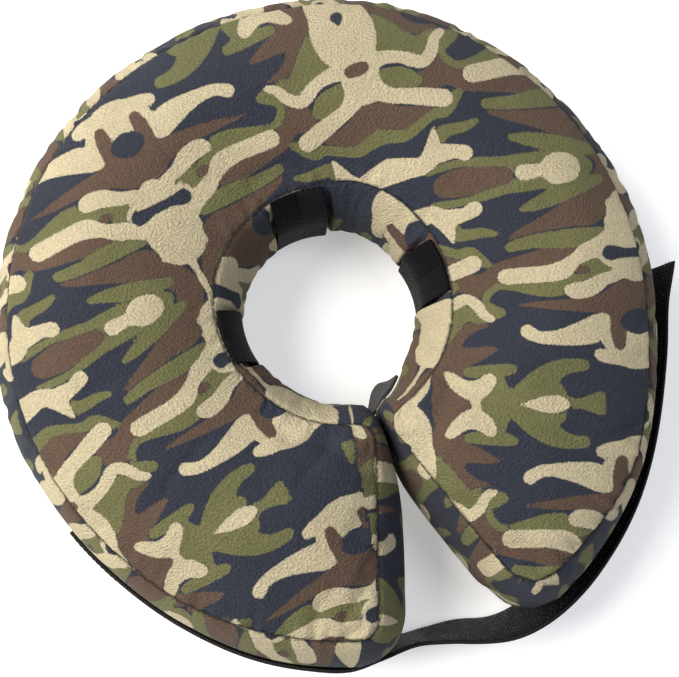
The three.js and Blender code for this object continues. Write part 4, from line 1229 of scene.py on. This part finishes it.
# Neck tab: a 25 mm charcoal tape with raised ribs along it and black edges. It closes the neck
# side of the gap, sewn to the left arm's wall and lying over the crotch to the right arm's.
TAB_WIDTH, TAB_THICKNESS, TAB_TOP, TAB_SAG, TAB_DROP = 25.0, 1.6, -3.0, 5.0, 6.0
TAB_EDGE, TAB_RIBS, RIB_HEIGHT, BINDING_FADE = 2.2, 10, 0.28, 0.3
tab_bearing = [24, 14, 0, -12, -20, -28]
tab_sag, tab_drop = [0, 0, 1, 0.1, 0, 0], [1, 1, 0.4, 0, 0, 0]
tab_lean = [-8, -6, 4, 16, 16, 4]
TAB_ROWS, COLUMNS_PER_RIB = 60, 7
bearing = np.linspace(tab_bearing[0], tab_bearing[-1], TAB_ROWS)
tab_wall = neck_seam(bearing) - np.maximum(0, neck_bulge(np.mod(bearing, 360)))
lean = np.radians(along(tab_bearing, tab_lean, bearing))[:, None]
across, thick = tape_across(TAB_WIDTH, TAB_THICKNESS, TAB_RIBS * COLUMNS_PER_RIB)
down = across + TAB_WIDTH / 2
radius = ((tab_wall - 2 * LIE_CLEAR + TAB_SAG * along(tab_bearing, tab_sag, bearing))[:, None]
          - down * np.sin(lean))
height = (TAB_TOP - TAB_DROP * along(tab_bearing, tab_drop, bearing))[:, None] - down * np.cos(lean)
ribbed_half = TAB_WIDTH / 2 - TAB_EDGE
ribs = np.abs(np.sin(np.pi * TAB_RIBS * (across + ribbed_half) / (2 * ribbed_half)))
ribs = np.where(np.abs(across) < ribbed_half, ribs - 1, 0) * RIB_HEIGHT
tab, tab_length, tab_face, _, tab_facing = tape_object(
    "ribbed_tab", round_ring(bearing, radius, height),
    round_ring(bearing, -np.cos(lean), np.sin(lean)), TAB_THICKNESS, thick, across, ribs)
ribbed = Finish("charcoal_ribbed_tape")
run, aside, _ = ribbed.parts_of(ribbed.stored("weave"))
cross_thread = run.wave(pitch=0.8)
bound = aside.size().ramp(ribbed_half - BINDING_FADE, ribbed_half + BINDING_FADE)
lint = ribbed.speckle(ribbed.object_place(), scale=900, detail=3)
fibre = ribbed.blend(cross_thread * lint, linear("2b2a2d"), linear("56535a"))
ribbed.plug(ribbed.shader, {
    "Base Color": ribbed.blend(bound, fibre, linear("0d0d0e")),
    "Roughness": lint.ramp(0.3, 0.7, low=0.65, high=0.85),
    "Normal": ribbed.relief(cross_thread, distance=0.0002, strength=0.7)})
tab.data.materials.append(ribbed.material)
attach(tab, "root")
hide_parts("neck_tab")
tab_length * TO_METRES

# Tape stitching: the strap's sewn end is boxed and crossed, the strip is sewn all round, and the
# tab's sewn end has two rows. Black thread, pulled a little into the tape.
TAPE_STITCH, TAPE_STITCH_RISE, TAPE_STITCH_SUNK = 2.0, 0.4, 0.05
TAPE_STITCH_STEP, TAPE_THREAD, LINE_SAMPLES = 2.8, 0.19, 40


def sewn_line(face, facing, ends):
    """A stitched line over a tape's face, between two (row, column) places given in shares."""
    (row_a, column_a), (row_b, column_b) = ends
    t = np.linspace(0, 1, LINE_SAMPLES)
    last_row, last_column = face.shape[0] - 1, face.shape[1] - 1
    rows_at = (row_a + (row_b - row_a) * t) * last_row
    columns_at = (column_a + (column_b - column_a) * t) * last_column
    r = np.minimum(rows_at.astype(int), last_row - 1)
    c = np.minimum(columns_at.astype(int), last_column - 1)
    u, v = (rows_at - r)[:, None], (columns_at - c)[:, None]

    def read(grid):
        return ((grid[r, c] * (1 - u) + grid[r + 1, c] * u) * (1 - v)
                + (grid[r, c + 1] * (1 - u) + grid[r + 1, c + 1] * u) * v)

    return evenly(read(face), read(facing), TAPE_STITCH_STEP)


def boxed(face, facing, rows, columns, crossed):
    (low, high), (near, far) = rows, columns
    a, b, c, d = (low, near), (high, near), (high, far), (low, far)
    pairs = [(a, b), (b, c), (c, d), (d, a)] + ([(a, c), (b, d)] if crossed else [])
    return [sewn_line(face, facing, pair) for pair in pairs]


tape_rows = (
    boxed(strap_face, strap_facing, rows=(0.008, 0.075), columns=(0.16, 0.84), crossed=True)
    + boxed(strip_face, strip_facing, rows=(0.02, 0.98), columns=(0.07, 0.93), crossed=False)
    + [sewn_line(tab_face, tab_facing, ((row, 0.08), (row, 0.92))) for row in (0.04, 0.1)])
tape_stitches = threads_object(
    "tape_stitches", tape_rows, *stitch(TAPE_STITCH, TAPE_STITCH_RISE, TAPE_STITCH_SUNK),
    TAPE_THREAD, THREAD_SIDES, dark_thread)
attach(tape_stitches, "root")
